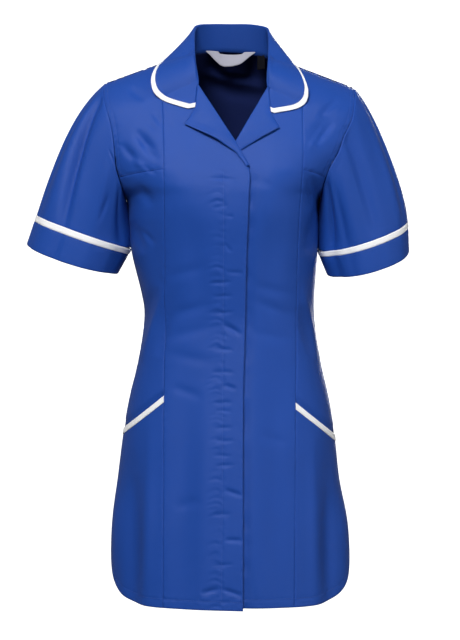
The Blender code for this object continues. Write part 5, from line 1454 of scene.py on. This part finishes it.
def add_sheet(
    node,
    surface,
    across,
    along,
    facing,
    material,
    relief,
    wall=None,
    closed=False,
    proud=0.0,
    reverse=None,
    lap=SEAM_LAP,
):
    """A cloth piece that stands for a node: its surface with relief, and a wall behind that.

    relief gives the height of the cloth above the surface from the points and their distances from the
    first and last columns and rows.
    """
    points = np.array([[surface(u, v) for u in across] for v in along])
    if closed:
        points[:, -1] = points[:, 0]
    close_seams(points, closed, lap)
    u_map, v_map = lengths(points, 1), lengths(points, 0)
    ends = (u_map, u_map[:, -1:] - u_map, v_map, v_map[-1:] - v_map)
    normals = outward(points, facing, closed)
    height = proud + relief(points, *ends)
    if closed:
        height[:, -1] = height[:, 0]
    points = points + normals * height[:, :, None]
    piece = lay_grid(node + "_cloth", points, facing, closed, u_map, v_map)
    piece.data.materials.append(material)
    shell = piece.modifiers.new("Wall", "SOLIDIFY")
    shell.thickness = wall or sizes().cloth
    shell.offset = -1.0
    # The inner face and the rims take the reverse material, whose darker colour is partly painted shade.
    if reverse:
        piece.data.materials.append(reverse)
        shell.material_offset = 1
        shell.material_offset_rim = 1
    place_piece(piece, node)
    return Sheet(piece, points, outward(points, facing, closed), *ends)


def place_piece(piece, node):
    """Ties a piece to its body and hides the node that it stands for."""
    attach(piece, BODY)
    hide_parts(node)
    slot_of(node)


def slot_of(node):
    """Finish that a node has in the record."""
    if "label" in node:
        return "grey_label"
    if "tag" in node:
        return "black_tag"
    return "white_trim" if "binding" in node or "band" in node else "blue_cloth"


def across_line(sheet, field, value, low=0.0, high=1.0):
    """Points and directions where a field over the grid has a value, one for each column in a range."""
    columns = range(round(low * (field.shape[1] - 1)), round(high * (field.shape[1] - 1)) + 1)
    return [read_line(sheet.points[:, c], sheet.normals[:, c], field[:, c], value) for c in columns]


def along_line(sheet, field, value, low=0.0, high=1.0):
    """The same, one for each row in a range."""
    rows = range(round(low * (field.shape[0] - 1)), round(high * (field.shape[0] - 1)) + 1)
    return [read_line(sheet.points[r], sheet.normals[r], field[r], value) for r in rows]


def read_line(points, normals, field, value):
    """Point and direction along one grid line where the field has the value."""
    if field[0] > field[-1]:
        points, normals, field = points[::-1], normals[::-1], field[::-1]
    place = float(np.interp(value, field, np.arange(len(field))))
    low = min(int(place), len(field) - 2)
    share = place - low
    point = Vector(lerp(points[low], points[low + 1], share))
    return point, Vector(lerp(normals[low], normals[low + 1], share)).normalized()


def along_run(at, run, values):
    """Three measures at a place along a run."""
    return Vector([np.interp(at, run, values[:, axis]) for axis in range(3)])


def sew(name, lines, material, slot):
    """Stitches of even length along the given lines, as one piece of thread."""
    work = bmesh.new()
    length, gap, radius = sizes().stitch, sizes().stitch_gap, sizes().thread / 2
    for line in lines:
        places = np.array([point for point, _ in line])
        normals = np.array([normal for _, normal in line])
        run = np.concatenate(([0.0], np.cumsum(np.linalg.norm(np.diff(places, axis=0), axis=1))))
        for index in range(int((run[-1] - length) / (length + gap))):
            start = gap / 2 + index * (length + gap)
            ends = [along_run(at, run, places) for at in (start, start + length)]
            way = ends[1] - ends[0]
            if way.length < length / 3:
                continue
            up = along_run(start + length / 2, run, normals)
            turn = way.to_track_quat("Z", "Y").to_matrix().to_4x4()
            centre = (ends[0] + ends[1]) / 2 + up.normalized() * radius * THREAD_PROUD
            bmesh.ops.create_cone(
                work,
                cap_ends=True,
                segments=THREAD_SIDES,
                radius1=radius,
                radius2=radius,
                depth=way.length,
                matrix=Matrix.Translation(centre) @ turn,
            )
    for face in work.faces:
        face.smooth = len(face.verts) == 4
    thread = new_object(name, work)
    thread.data.materials.append(material)
    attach(thread, BODY)
    return thread


def declare(node, thread=()):
    """Looks up the cut of what shows of a piece."""
    cut = CUTS[node]
    list(cut.rests_on)


def finish_piece(node, lines, white=False):
    """Sews a piece's rows of stitches and looks up its cut."""
    thread, slot = (white_thread(), "white_trim") if white else (blue_thread(), "blue_cloth")
    declare(node, [sew(node + "_stitches", lines, thread, slot)])


def body_relief(face, edges, turning):
    """Relief of a body piece: creases, slow unevenness and seams at the named edges.

    The creases end at the turning edges, where the next piece faces another way.
    """

    def relief(points, first_column, last_column, first_row, last_row):
        distances = {"first": first_column, "last": last_column, "low": first_row, "high": last_row}
        total = pressed(CREASES[face], points) + slack(points)
        for edge in turning:
            total *= settled(distances[edge])
        total += np.minimum.reduce([rolled(distances[edge]) for edge in edges])
        for edge in edges:
            total += puckered(distances[edge], points)
        return total

    return relief


def raised_hem(surface, start, end, reach):
    """The same surface with a higher hem: by start at its first column and by end at its last one."""

    def raised(across, along):
        point = surface(across, along)
        return point + Vector((0.0, 0.0, lerp(start, end, across) * max(1.0 - along / reach, 0.0)))

    return raised


class TUNIC_OT_fronts(bpy.types.Operator):
    """Centre fronts, with the placket and its marks on the upper one"""

    bl_idname = "tunic.fronts"
    bl_label = "Fronts"

    def execute(self, context):
        for hand, name in SIDES.items():
            node = "front_" + name
            plain = body_relief(FRONT, ("first", "last", "high"), ("high",))

            def relief(points, first_column, last_column, first_row, last_row, hand=hand, plain=plain):
                total = plain(points, first_column, last_column, first_row, last_row)
                total += stitched(first_row - HEM_DEPTH, points) + rolled(first_row)
                if hand == RIGHT:
                    return total + placket_relief(points)
                edge = np.array([front_edge_x(RIGHT, min(z, PLACKET_TOP_Z)) for z in points[:, 0, 2]])
                aside = (points[:, :, 0] - edge[:, None] - UNDER_DIP_ASIDE) / UNDER_DIP_REACH
                beside = np.exp(-(aside**2))
                under = np.clip((PLACKET_TOP_Z - points[:, :, 2]) / UNDER_DIP_FADE, 0.0, 1.0)
                uneven = 1.0 + 0.5 * grain(points, UNDER_DIP_SIZE, UNDER_DIP_SEED)
                return total - UNDER_DIP * beside * under * uneven

            spacing = FINE if hand == RIGHT else WIDE
            sheet = add_sheet(
                node,
                raised_hem(centre_front(hand), *HEM_RISES[hand], HEM_EASE[0]),
                columns_of(FRONT_WIDTH, spacing),
                body_rows(spacing),
                hand,
                blue_cloth(),
                relief,
                lap=SHOULDER_LAP,
            )
            lines = [across_line(sheet, sheet.first_row, HEM_DEPTH)]
            if hand == RIGHT:
                rows = sheet.points[:, 0, 2]
                low = np.searchsorted(rows, HEM_ANCHOR.edge + HEM_DEPTH) / len(rows)
                high = np.searchsorted(rows, PLACKET_TOP_Z) / len(rows)
                lines.append(along_line(sheet, placket_distance(sheet.points), 0.0, low, high))
            finish_piece(node, lines)
        return {"FINISHED"}


class TUNIC_OT_chest(bpy.types.Operator):
    """Chest pieces from the shoulder to the bust seam"""

    bl_idname = "tunic.chest"
    bl_label = "Chest pieces"

    def execute(self, context):
        for hand, name in SIDES.items():
            node = "chest_" + name
            plain = body_relief(FRONT, ("first", "last", "low", "high"), ("last", "high"))

            def relief(points, first_column, last_column, first_row, last_row, plain=plain):
                total = plain(points, first_column, last_column, first_row, last_row)
                for distance in ARMHOLE_LINES:
                    total += stitched(last_column - distance, points)
                return total + stitched(first_row - EDGE_LINE, points)

            rows = body_rows(WIDE, BUST_ROW / ROWS)
            columns = columns_of(CHEST_WIDTH, WIDE)
            sheet = add_sheet(node, chest(hand), columns, rows, hand, blue_cloth(), relief, lap=SHOULDER_LAP)
            lines = [along_line(sheet, sheet.last_column, distance) for distance in ARMHOLE_LINES]
            lines.append(across_line(sheet, sheet.first_row, EDGE_LINE))
            finish_piece(node, lines)
        return {"FINISHED"}


class TUNIC_OT_side_fronts(bpy.types.Operator):
    """Side fronts from the bust seam down behind the pockets"""

    bl_idname = "tunic.side_fronts"
    bl_label = "Side fronts"

    def execute(self, context):
        for hand, name in SIDES.items():
            node = "side_front_" + name
            levels = side_front_levels(hand)
            relief = body_relief(FRONT, ("first", "last", "high"), ("last",))
            rows = level_rows(levels, WIDE)
            columns = columns_of(SIDE_WIDTH, WIDE)
            sheet = add_sheet(node, side_front(hand, levels), columns, rows, hand, blue_cloth(), relief)
            armhole = 1.0 - np.searchsorted(sheet.points[:, -1, 2][::-1] * -1.0, -UNDERARM_Z) / len(rows)
            lines = [along_line(sheet, sheet.last_column, distance, armhole) for distance in ARMHOLE_LINES]
            finish_piece(node, lines)
        return {"FINISHED"}


class TUNIC_OT_pockets(bpy.types.Operator):
    """Lower side fronts with the white bindings of their pocket openings"""

    bl_idname = "tunic.pockets"
    bl_label = "Pockets"

    def execute(self, context):
        for hand, name in SIDES.items():
            node = "pocket_front_" + name
            plain = body_relief(FRONT, ("first", "last"), ("last",))

            def relief(points, first_column, last_column, first_row, last_row, plain=plain):
                total = plain(points, first_column, last_column, first_row, last_row)
                return total + stitched(first_row - HEM_DEPTH, points) + rolled(first_row)

            columns = columns_of(SIDE_WIDTH, WIDE)
            sheet = add_sheet(
                node,
                raised_hem(pocket_front(hand), HEM_RISES[hand][1], 0.0, HEM_EASE[1]),
                columns,
                columns_of(POCKET_HEIGHT, WIDE),
                hand,
                blue_cloth(),
                relief,
            )
            lines = [across_line(sheet, sheet.first_row, HEM_DEPTH)]
            finish_piece(node, lines)

            def bound(points, first_column, last_column, first_row, last_row):
                total = (pressed(CREASES[FRONT], points) + slack(points)) * settled(last_column)
                total += 0.5 * (rolled(first_row) + rolled(last_row))
                return total + BINDING_PUCKER * puckered(first_row, points)

            node = "pocket_binding_" + name
            sheet = add_sheet(
                node,
                pocket_binding(hand),
                columns,
                columns_of(POCKET_BINDING, FINE),
                hand,
                white_trim(),
                bound,
                wall=sizes().trim,
                proud=POCKET_PROUD + POCKET_BINDING_LIFT,
            )
            lines = [across_line(sheet, sheet.first_row, EDGE_LINE, *POCKET_SEWN)]
            finish_piece(node, lines, white=True)
        return {"FINISHED"}


class TUNIC_OT_back(bpy.types.Operator):
    """The back, in one piece"""

    bl_idname = "tunic.back"
    bl_label = "Back"

    def execute(self, context):
        plain = body_relief(BACK, ("first", "last", "high"), ("first", "last", "high"))

        def relief(points, first_column, last_column, first_row, last_row):
            total = plain(points, first_column, last_column, first_row, last_row)
            return total + stitched(first_row - HEM_DEPTH, points) + rolled(first_row)

        sheet = add_sheet(
            "back",
            back_surface,
            columns_of(BACK_WIDTH, BROAD),
            body_rows(BROAD),
            -1,
            blue_cloth(),
            relief,
            lap=SHOULDER_LAP,
            reverse=blue_reverse_painted_shade(),
        )
        rows = sheet.points[:, 0, 2]
        armhole = np.searchsorted(rows, UNDERARM_Z) / len(rows)
        lines = [across_line(sheet, sheet.first_row, HEM_DEPTH)]
        for distance in ARMHOLE_LINES:
            lines.append(along_line(sheet, sheet.first_column, distance, armhole))
            lines.append(along_line(sheet, sheet.last_column, distance, armhole))
        finish_piece("back", lines)
        return {"FINISHED"}


class TUNIC_OT_sleeves(bpy.types.Operator):
    """Short set-in sleeves with their creases"""

    bl_idname = "tunic.sleeves"
    bl_label = "Sleeves"

    def execute(self, context):
        for hand, name in SIDES.items():
            node = "sleeve_" + name
            around, along = shares(ARM_STEPS), columns_of(SLEEVE_LENGTH, WIDE)
            creases = sleeve_relief(hand, around, along)

            def relief(points, first_column, last_column, first_row, last_row, creases=creases):
                total = (creases + slack(points)) * settled(first_row, SLEEVE_SETTLE)
                return total + seamed(first_row, points) + seamed(last_row, points)

            sheet = add_sheet(node, sleeve(hand), around, along, hand, blue_cloth(), relief, closed=True)
            declare(node)
        return {"FINISHED"}


class TUNIC_OT_cuffs(bpy.types.Operator):
    """White bands and turned cuffs"""

    bl_idname = "tunic.cuffs"
    bl_label = "Cuffs"

    def execute(self, context):
        for hand, name in SIDES.items():
            around = shares(ARM_STEPS)

            def carried(points, hand=hand, around=around):
                creases = sleeve_relief(hand, around, [1.0] * points.shape[0])
                return creases + slack(points)

            def banded(points, first_column, last_column, first_row, last_row, carried=carried):
                return carried(points) + rolled(first_row) + rolled(last_row)

            def turned(points, first_column, last_column, first_row, last_row, carried=carried):
                total = carried(points) + seamed(first_row, points) + rolled(last_row)
                return total + stitched(first_row - CUFF_LINE, points)

            node = "cuff_band_" + name
            sheet = add_sheet(
                node,
                cuff(hand, 0.0, BAND_SHARE),
                around,
                columns_of(BAND_HEIGHT, FINE),
                hand,
                white_trim(),
                banded,
                wall=sizes().trim,
                closed=True,
                proud=BAND_PROUD,
            )
            lines = [across_line(sheet, field, EDGE_LINE) for field in (sheet.first_row, sheet.last_row)]
            finish_piece(node, lines, white=True)
            node = "cuff_" + name
            sheet = add_sheet(
                node,
                cuff(hand, BAND_SHARE, 1.0),
                around,
                columns_of(CUFF_HEIGHT, WIDE),
                hand,
                blue_cloth(),
                turned,
                wall=CUFF_WALL,
                closed=True,
                proud=CUFF_PROUD,
            )
            finish_piece(node, [across_line(sheet, sheet.first_row, CUFF_LINE)])
        return {"FINISHED"}


class TUNIC_OT_revers(bpy.types.Operator):
    """Revers folded out from the front edges"""

    bl_idname = "tunic.revers"
    bl_label = "Revers"

    def execute(self, context):
        round_steps = [FOLD_SHARE * share for share in shares(9)]
        flat_steps = [lerp(FOLD_SHARE, 1.0, share) for share in columns_of(LAPEL_WIDTH, FINE)][1:]

        for hand, name in SIDES.items():
            node = "lapel_" + name

            def relief(points, first_column, last_column, first_row, last_row, hand=hand):
                place = first_row / (first_row + last_row)
                aside, off = last_column / LAPEL_LIFT_REACH, (place - LAPEL_LIFT_PLACE) / LAPEL_LIFT_SPREAD
                free = np.exp(-(aside**2) - off**2)
                total = rolled(last_column) + 0.5 * slack(points) + 0.5 * puckered(last_column, points)
                return total + LAPEL_LIFT[hand] * free

            sheet = add_sheet(
                node,
                revers(hand),
                round_steps + flat_steps,
                revers_rows(hand),
                -hand,
                blue_cloth(),
                relief,
                wall=LAPEL_WALL,
            )
            declare(node)
        return {"FINISHED"}


class TUNIC_OT_collar(bpy.types.Operator):
    """Stand and fall collar with its white binding"""

    bl_idname = "tunic.collar"
    bl_label = "Collar"

    def execute(self, context):
        around = shares(COLLAR_STEPS)
        stand = [STAND_SHARE * share for share in shares(8)]
        over = [lerp(STAND_SHARE, ROUND_SHARE, share) for share in shares(12)][1:]
        fall = [lerp(ROUND_SHARE, BINDING_SHARE, share) for share in columns_of(FALL_HEIGHT, WIDE)][1:]
        steps = [value / BINDING_SHARE for value in stand + over + fall]

        def relief(points, first_column, last_column, first_row, last_row):
            ends = rolled(first_column) + rolled(last_column)
            return COLLAR_SLACK * slack(points) + seamed(last_row, points) + ends

        def bound(points, first_column, last_column, first_row, last_row):
            return COLLAR_SLACK * slack(points) + rolled(last_row) + rolled(first_row)

        sheet = add_sheet("collar", trimmed_collar(False), around, steps, 1, blue_cloth(), relief)
        # The stand's rows take the darker twill, painted shade of the neck.
        sheet.piece.data.materials.append(blue_stand_painted_shade())
        for face in sheet.piece.data.polygons:
            face.material_index = int(face.index < len(stand[1:]) * (len(around) - 1))
        declare("collar")
        sheet = add_sheet(
            "collar_binding",
            trimmed_collar(True),
            around,
            columns_of(BINDING_HEIGHT, FINE),
            1,
            white_trim(),
            bound,
            wall=sizes().trim,
            proud=BINDING_PROUD,
        )
        lines = [across_line(sheet, sheet.first_row, COLLAR_LINE, *COLLAR_SEWN)]
        finish_piece("collar_binding", lines, white=True)
        return {"FINISHED"}


@functools.lru_cache
def binding_start(hand, share):
    """Share of the collar's height at which its binding begins, for a binding of even width."""
    steps = [lerp(ROUND_SHARE, 1.0, step) for step in shares(FALL_STEPS)]
    points = [collar_point(hand, share, step) for step in steps]
    left = COLLAR_BINDING
    for low, high, step, after in reversed(list(zip(points, points[1:], steps, steps[1:]))):
        length = (high - low).length
        if length >= left:
            return lerp(after, step, left / length)
        left -= length
    return steps[0]


def trimmed_collar(binding):
    """Surface of the collar without its binding, or of the binding alone."""

    def surface(around, across):
        half = (around - 0.5) * 2.0
        hand = hand_of(half)
        edge = binding_start(hand, abs(half))
        if binding:
            return collar_point(hand, abs(half), lerp(edge, 1.0, across))
        point = collar_point(hand, abs(half), edge * across)
        low = max(1.0 - edge * across / STAND_FOOT, 0.0) * max(1.0 - abs(half) / NECK_TURNING, 0.0)
        return point - STAND_DROP_WAY * STAND_DROP * low

    return surface


def label_surface(across, along):
    """Surface of the loop label, whose folded ends are sewn into the neck seam."""
    x = lerp(LABEL_EDGES[0].x, LABEL_EDGES[-1].x, across)
    low, high = (broken_line(LABEL_EDGES, "x", name, x) for name in ("bottom", "top"))
    belly = math.sin(math.pi * across) * (1.0 - along)
    inward = CLOTH + LABEL_STANDOFF + LABEL_CURVE * belly
    return Vector((x, neck_seam(x).y - inward, lerp(low, high, along)))


def tag_surface(across, along):
    """Surface of the small tag beside the label, which hangs a little away from the back."""
    x, z = lerp(*TAG_PLACE, across), lerp(*TAG_REACH, along)
    return Vector((x, neck_seam(x).y - CLOTH - LABEL_STANDOFF - TAG_FLARE * (1.0 - along), z))


class TUNIC_OT_labels(bpy.types.Operator):
    """Loop label and small tag in the back neck, both bare"""

    bl_idname = "tunic.labels"
    bl_label = "Labels"

    def execute(self, context):
        satin = woven("grey_satin", colours().label, SATIN_WEAVE, diagonal=False)
        black = woven("black_satin", shade(colours().tag, TAG_SHADE)[:3], SATIN_WEAVE, diagonal=False)

        def flat(points, first_column, last_column, first_row, last_row):
            return LABEL_ROLL * rolled(first_row) + LABEL_ROLL * rolled(last_row)

        label = ("neck_label", label_surface, LABEL_GRID, satin)
        tag = ("size_tag", tag_surface, TAG_GRID, black)
        for node, surface, (columns, rows), material in (label, tag):
            across, along = shares(columns), shares(rows)
            sheet = add_sheet(node, surface, across, along, 1, material, flat, wall=LABEL_WALL)
            declare(node)
        return {"FINISHED"}


# Studio: places and sizes of the floor, the backdrop and the lights
FLOOR_Z = -2.2
FLOOR_HALF = 20.0
WALL_RADIUS = 8.0
WALL_SIDES = 64
WALL_HEIGHT = 12.0
WALL_GLOW = 1.05
FLOOR_GLOW = 0.72
FLOOR_CLOUDS = 1.5
FLOOR_ROUGHNESS = (0.85, 0.95)
CAMERA_PLACE = (-0.0015, -3.0, -0.396)
CAMERA_LENS, CAMERA_SENSOR = 112.5, 36.0
Lamp = collections.namedtuple("Lamp", "name place aim size power")
LAMPS = (
    Lamp("key_light", (-0.9, -3.0, 2.3), (0.0, 0.0, -0.20), 1.3, 150.0),
    Lamp("back_light", (0.7, 4.2, 0.5), (0.0, 0.0, -0.40), 2.0, 112.0),
    Lamp("fill_light", (2.7, -2.5, 0.1), (0.0, 0.0, -0.45), 2.2, 34.0),
)
PALE = 0.19


def stage_piece(name, work):
    """A shape that belongs to the studio."""
    piece = new_object(name, work)
    return piece


def glowing(name, glow):
    """A pale material with a little light of its own."""
    material, tree, shader = start_material(name)
    shader.inputs["Base Color"].default_value = (*colours().floor, 1.0)
    shader.inputs["Emission Color"].default_value = (1.0, 1.0, 1.0, 1.0)
    shader.inputs["Emission Strength"].default_value = glow
    return material, tree, shader


class TUNIC_OT_stage(bpy.types.Operator):
    """Pale floor, lit backdrop, soft lights and the camera"""

    bl_idname = "tunic.stage"
    bl_label = "Stage"

    def execute(self, context):
        work = bmesh.new()
        middle = Matrix.Translation((0.0, 0.0, FLOOR_Z))
        bmesh.ops.create_grid(work, x_segments=1, y_segments=1, size=FLOOR_HALF, matrix=middle)
        floor = stage_piece("floor", work)
        pale, tree, shader = glowing("pale_floor", FLOOR_GLOW)
        place = add_node(tree, "ShaderNodeTexCoord")
        clouds = {"Vector": place.outputs["Object"], "Scale": FLOOR_CLOUDS}
        cloudy = add_node(tree, "ShaderNodeTexNoise", clouds)
        low, high = FLOOR_ROUGHNESS
        spread = {"Value": cloudy.outputs["Fac"], "To Min": low, "To Max": high}
        worn = add_node(tree, "ShaderNodeMapRange", spread)
        tree.links.new(worn.outputs[0], shader.inputs["Roughness"])
        floor.data.materials.append(pale)
        work = bmesh.new()
        middle = Matrix.Translation((0.0, 0.0, FLOOR_Z + WALL_HEIGHT / 2))
        bmesh.ops.create_cone(
            work,
            cap_ends=False,
            segments=WALL_SIDES,
            radius1=WALL_RADIUS,
            radius2=WALL_RADIUS,
            depth=WALL_HEIGHT,
            matrix=middle,
        )
        bmesh.ops.reverse_faces(work, faces=work.faces)
        backdrop = stage_piece("backdrop", work)
        backdrop.data.shade_smooth()
        backdrop.data.materials.append(glowing("lit_backdrop", WALL_GLOW)[0])
        for piece in (floor, backdrop):
            piece.visible_diffuse = False
            piece.visible_glossy = False
        backdrop.visible_shadow = False
        world = bpy.data.worlds.new("studio")
        world.use_nodes = True
        sky = world.node_tree.nodes["Background"]
        sky.inputs["Color"].default_value = (1.0, 1.0, 1.0, 1.0)
        sky.inputs["Strength"].default_value = PALE
        context.scene.world = world
        context.scene.view_settings.view_transform = "Standard"
        for lamp in LAMPS:
            light = bpy.data.lights.new(lamp.name, "AREA")
            light.shape = "SQUARE"
            light.size = lamp.size
            light.energy = lamp.power
            holder = bpy.data.objects.new(lamp.name, light)
            holder.location = lamp.place
            aim = Vector(lamp.aim) - Vector(lamp.place)
            holder.rotation_euler = aim.to_track_quat("-Z", "Y").to_euler()
            holder.visible_camera = False
            context.scene.collection.objects.link(holder)
        camera = bpy.data.cameras.new("camera")
        camera.lens = CAMERA_LENS
        camera.sensor_width = CAMERA_SENSOR
        holder = bpy.data.objects.new("camera", camera)
        holder.location = CAMERA_PLACE
        holder.rotation_euler = (math.pi / 2, 0.0, 0.0)
        context.scene.collection.objects.link(holder)
        context.scene.camera = holder
        return {"FINISHED"}


class TUNIC_PT_panel(bpy.types.Panel):
    """Sizes, colours and the steps that build the tunic"""

    bl_idname = "TUNIC_PT_panel"
    bl_label = "Tunic"
    bl_space_type = "VIEW_3D"
    bl_region_type = "UI"
    bl_category = "Tunic"

    def draw(self, context):
        for group in (context.scene.tunic_sizes, context.scene.tunic_colours):
            for name in group.__annotations__:
                self.layout.prop(group, name)
        for operator in OPERATORS:
            self.layout.operator(operator.bl_idname)


OPERATORS = (
    TUNIC_OT_fronts,
    TUNIC_OT_chest,
    TUNIC_OT_side_fronts,
    TUNIC_OT_pockets,
    TUNIC_OT_back,
    TUNIC_OT_sleeves,
    TUNIC_OT_cuffs,
    TUNIC_OT_revers,
    TUNIC_OT_collar,
    TUNIC_OT_labels,
    TUNIC_OT_stage,
)
CLASSES = (TunicSizes, TunicColours, *OPERATORS, TUNIC_PT_panel)


def register():
    """Adds the classes and the user's sizes and colours."""
    for kind in CLASSES:
        bpy.utils.register_class(kind)
    bpy.types.Scene.tunic_sizes = bpy.props.PointerProperty(type=TunicSizes)
    bpy.types.Scene.tunic_colours = bpy.props.PointerProperty(type=TunicColours)


def unregister():
    """Takes them away again."""
    del bpy.types.Scene.tunic_colours
    del bpy.types.Scene.tunic_sizes
    for kind in reversed(CLASSES):
        bpy.utils.unregister_class(kind)


def main():
    """Builds the dressed tunic."""
    register()
    for operator in OPERATORS:
        group, name = operator.bl_idname.split(".")
        getattr(getattr(bpy.ops, group), name)()


if __name__ == "__main__":
    main()
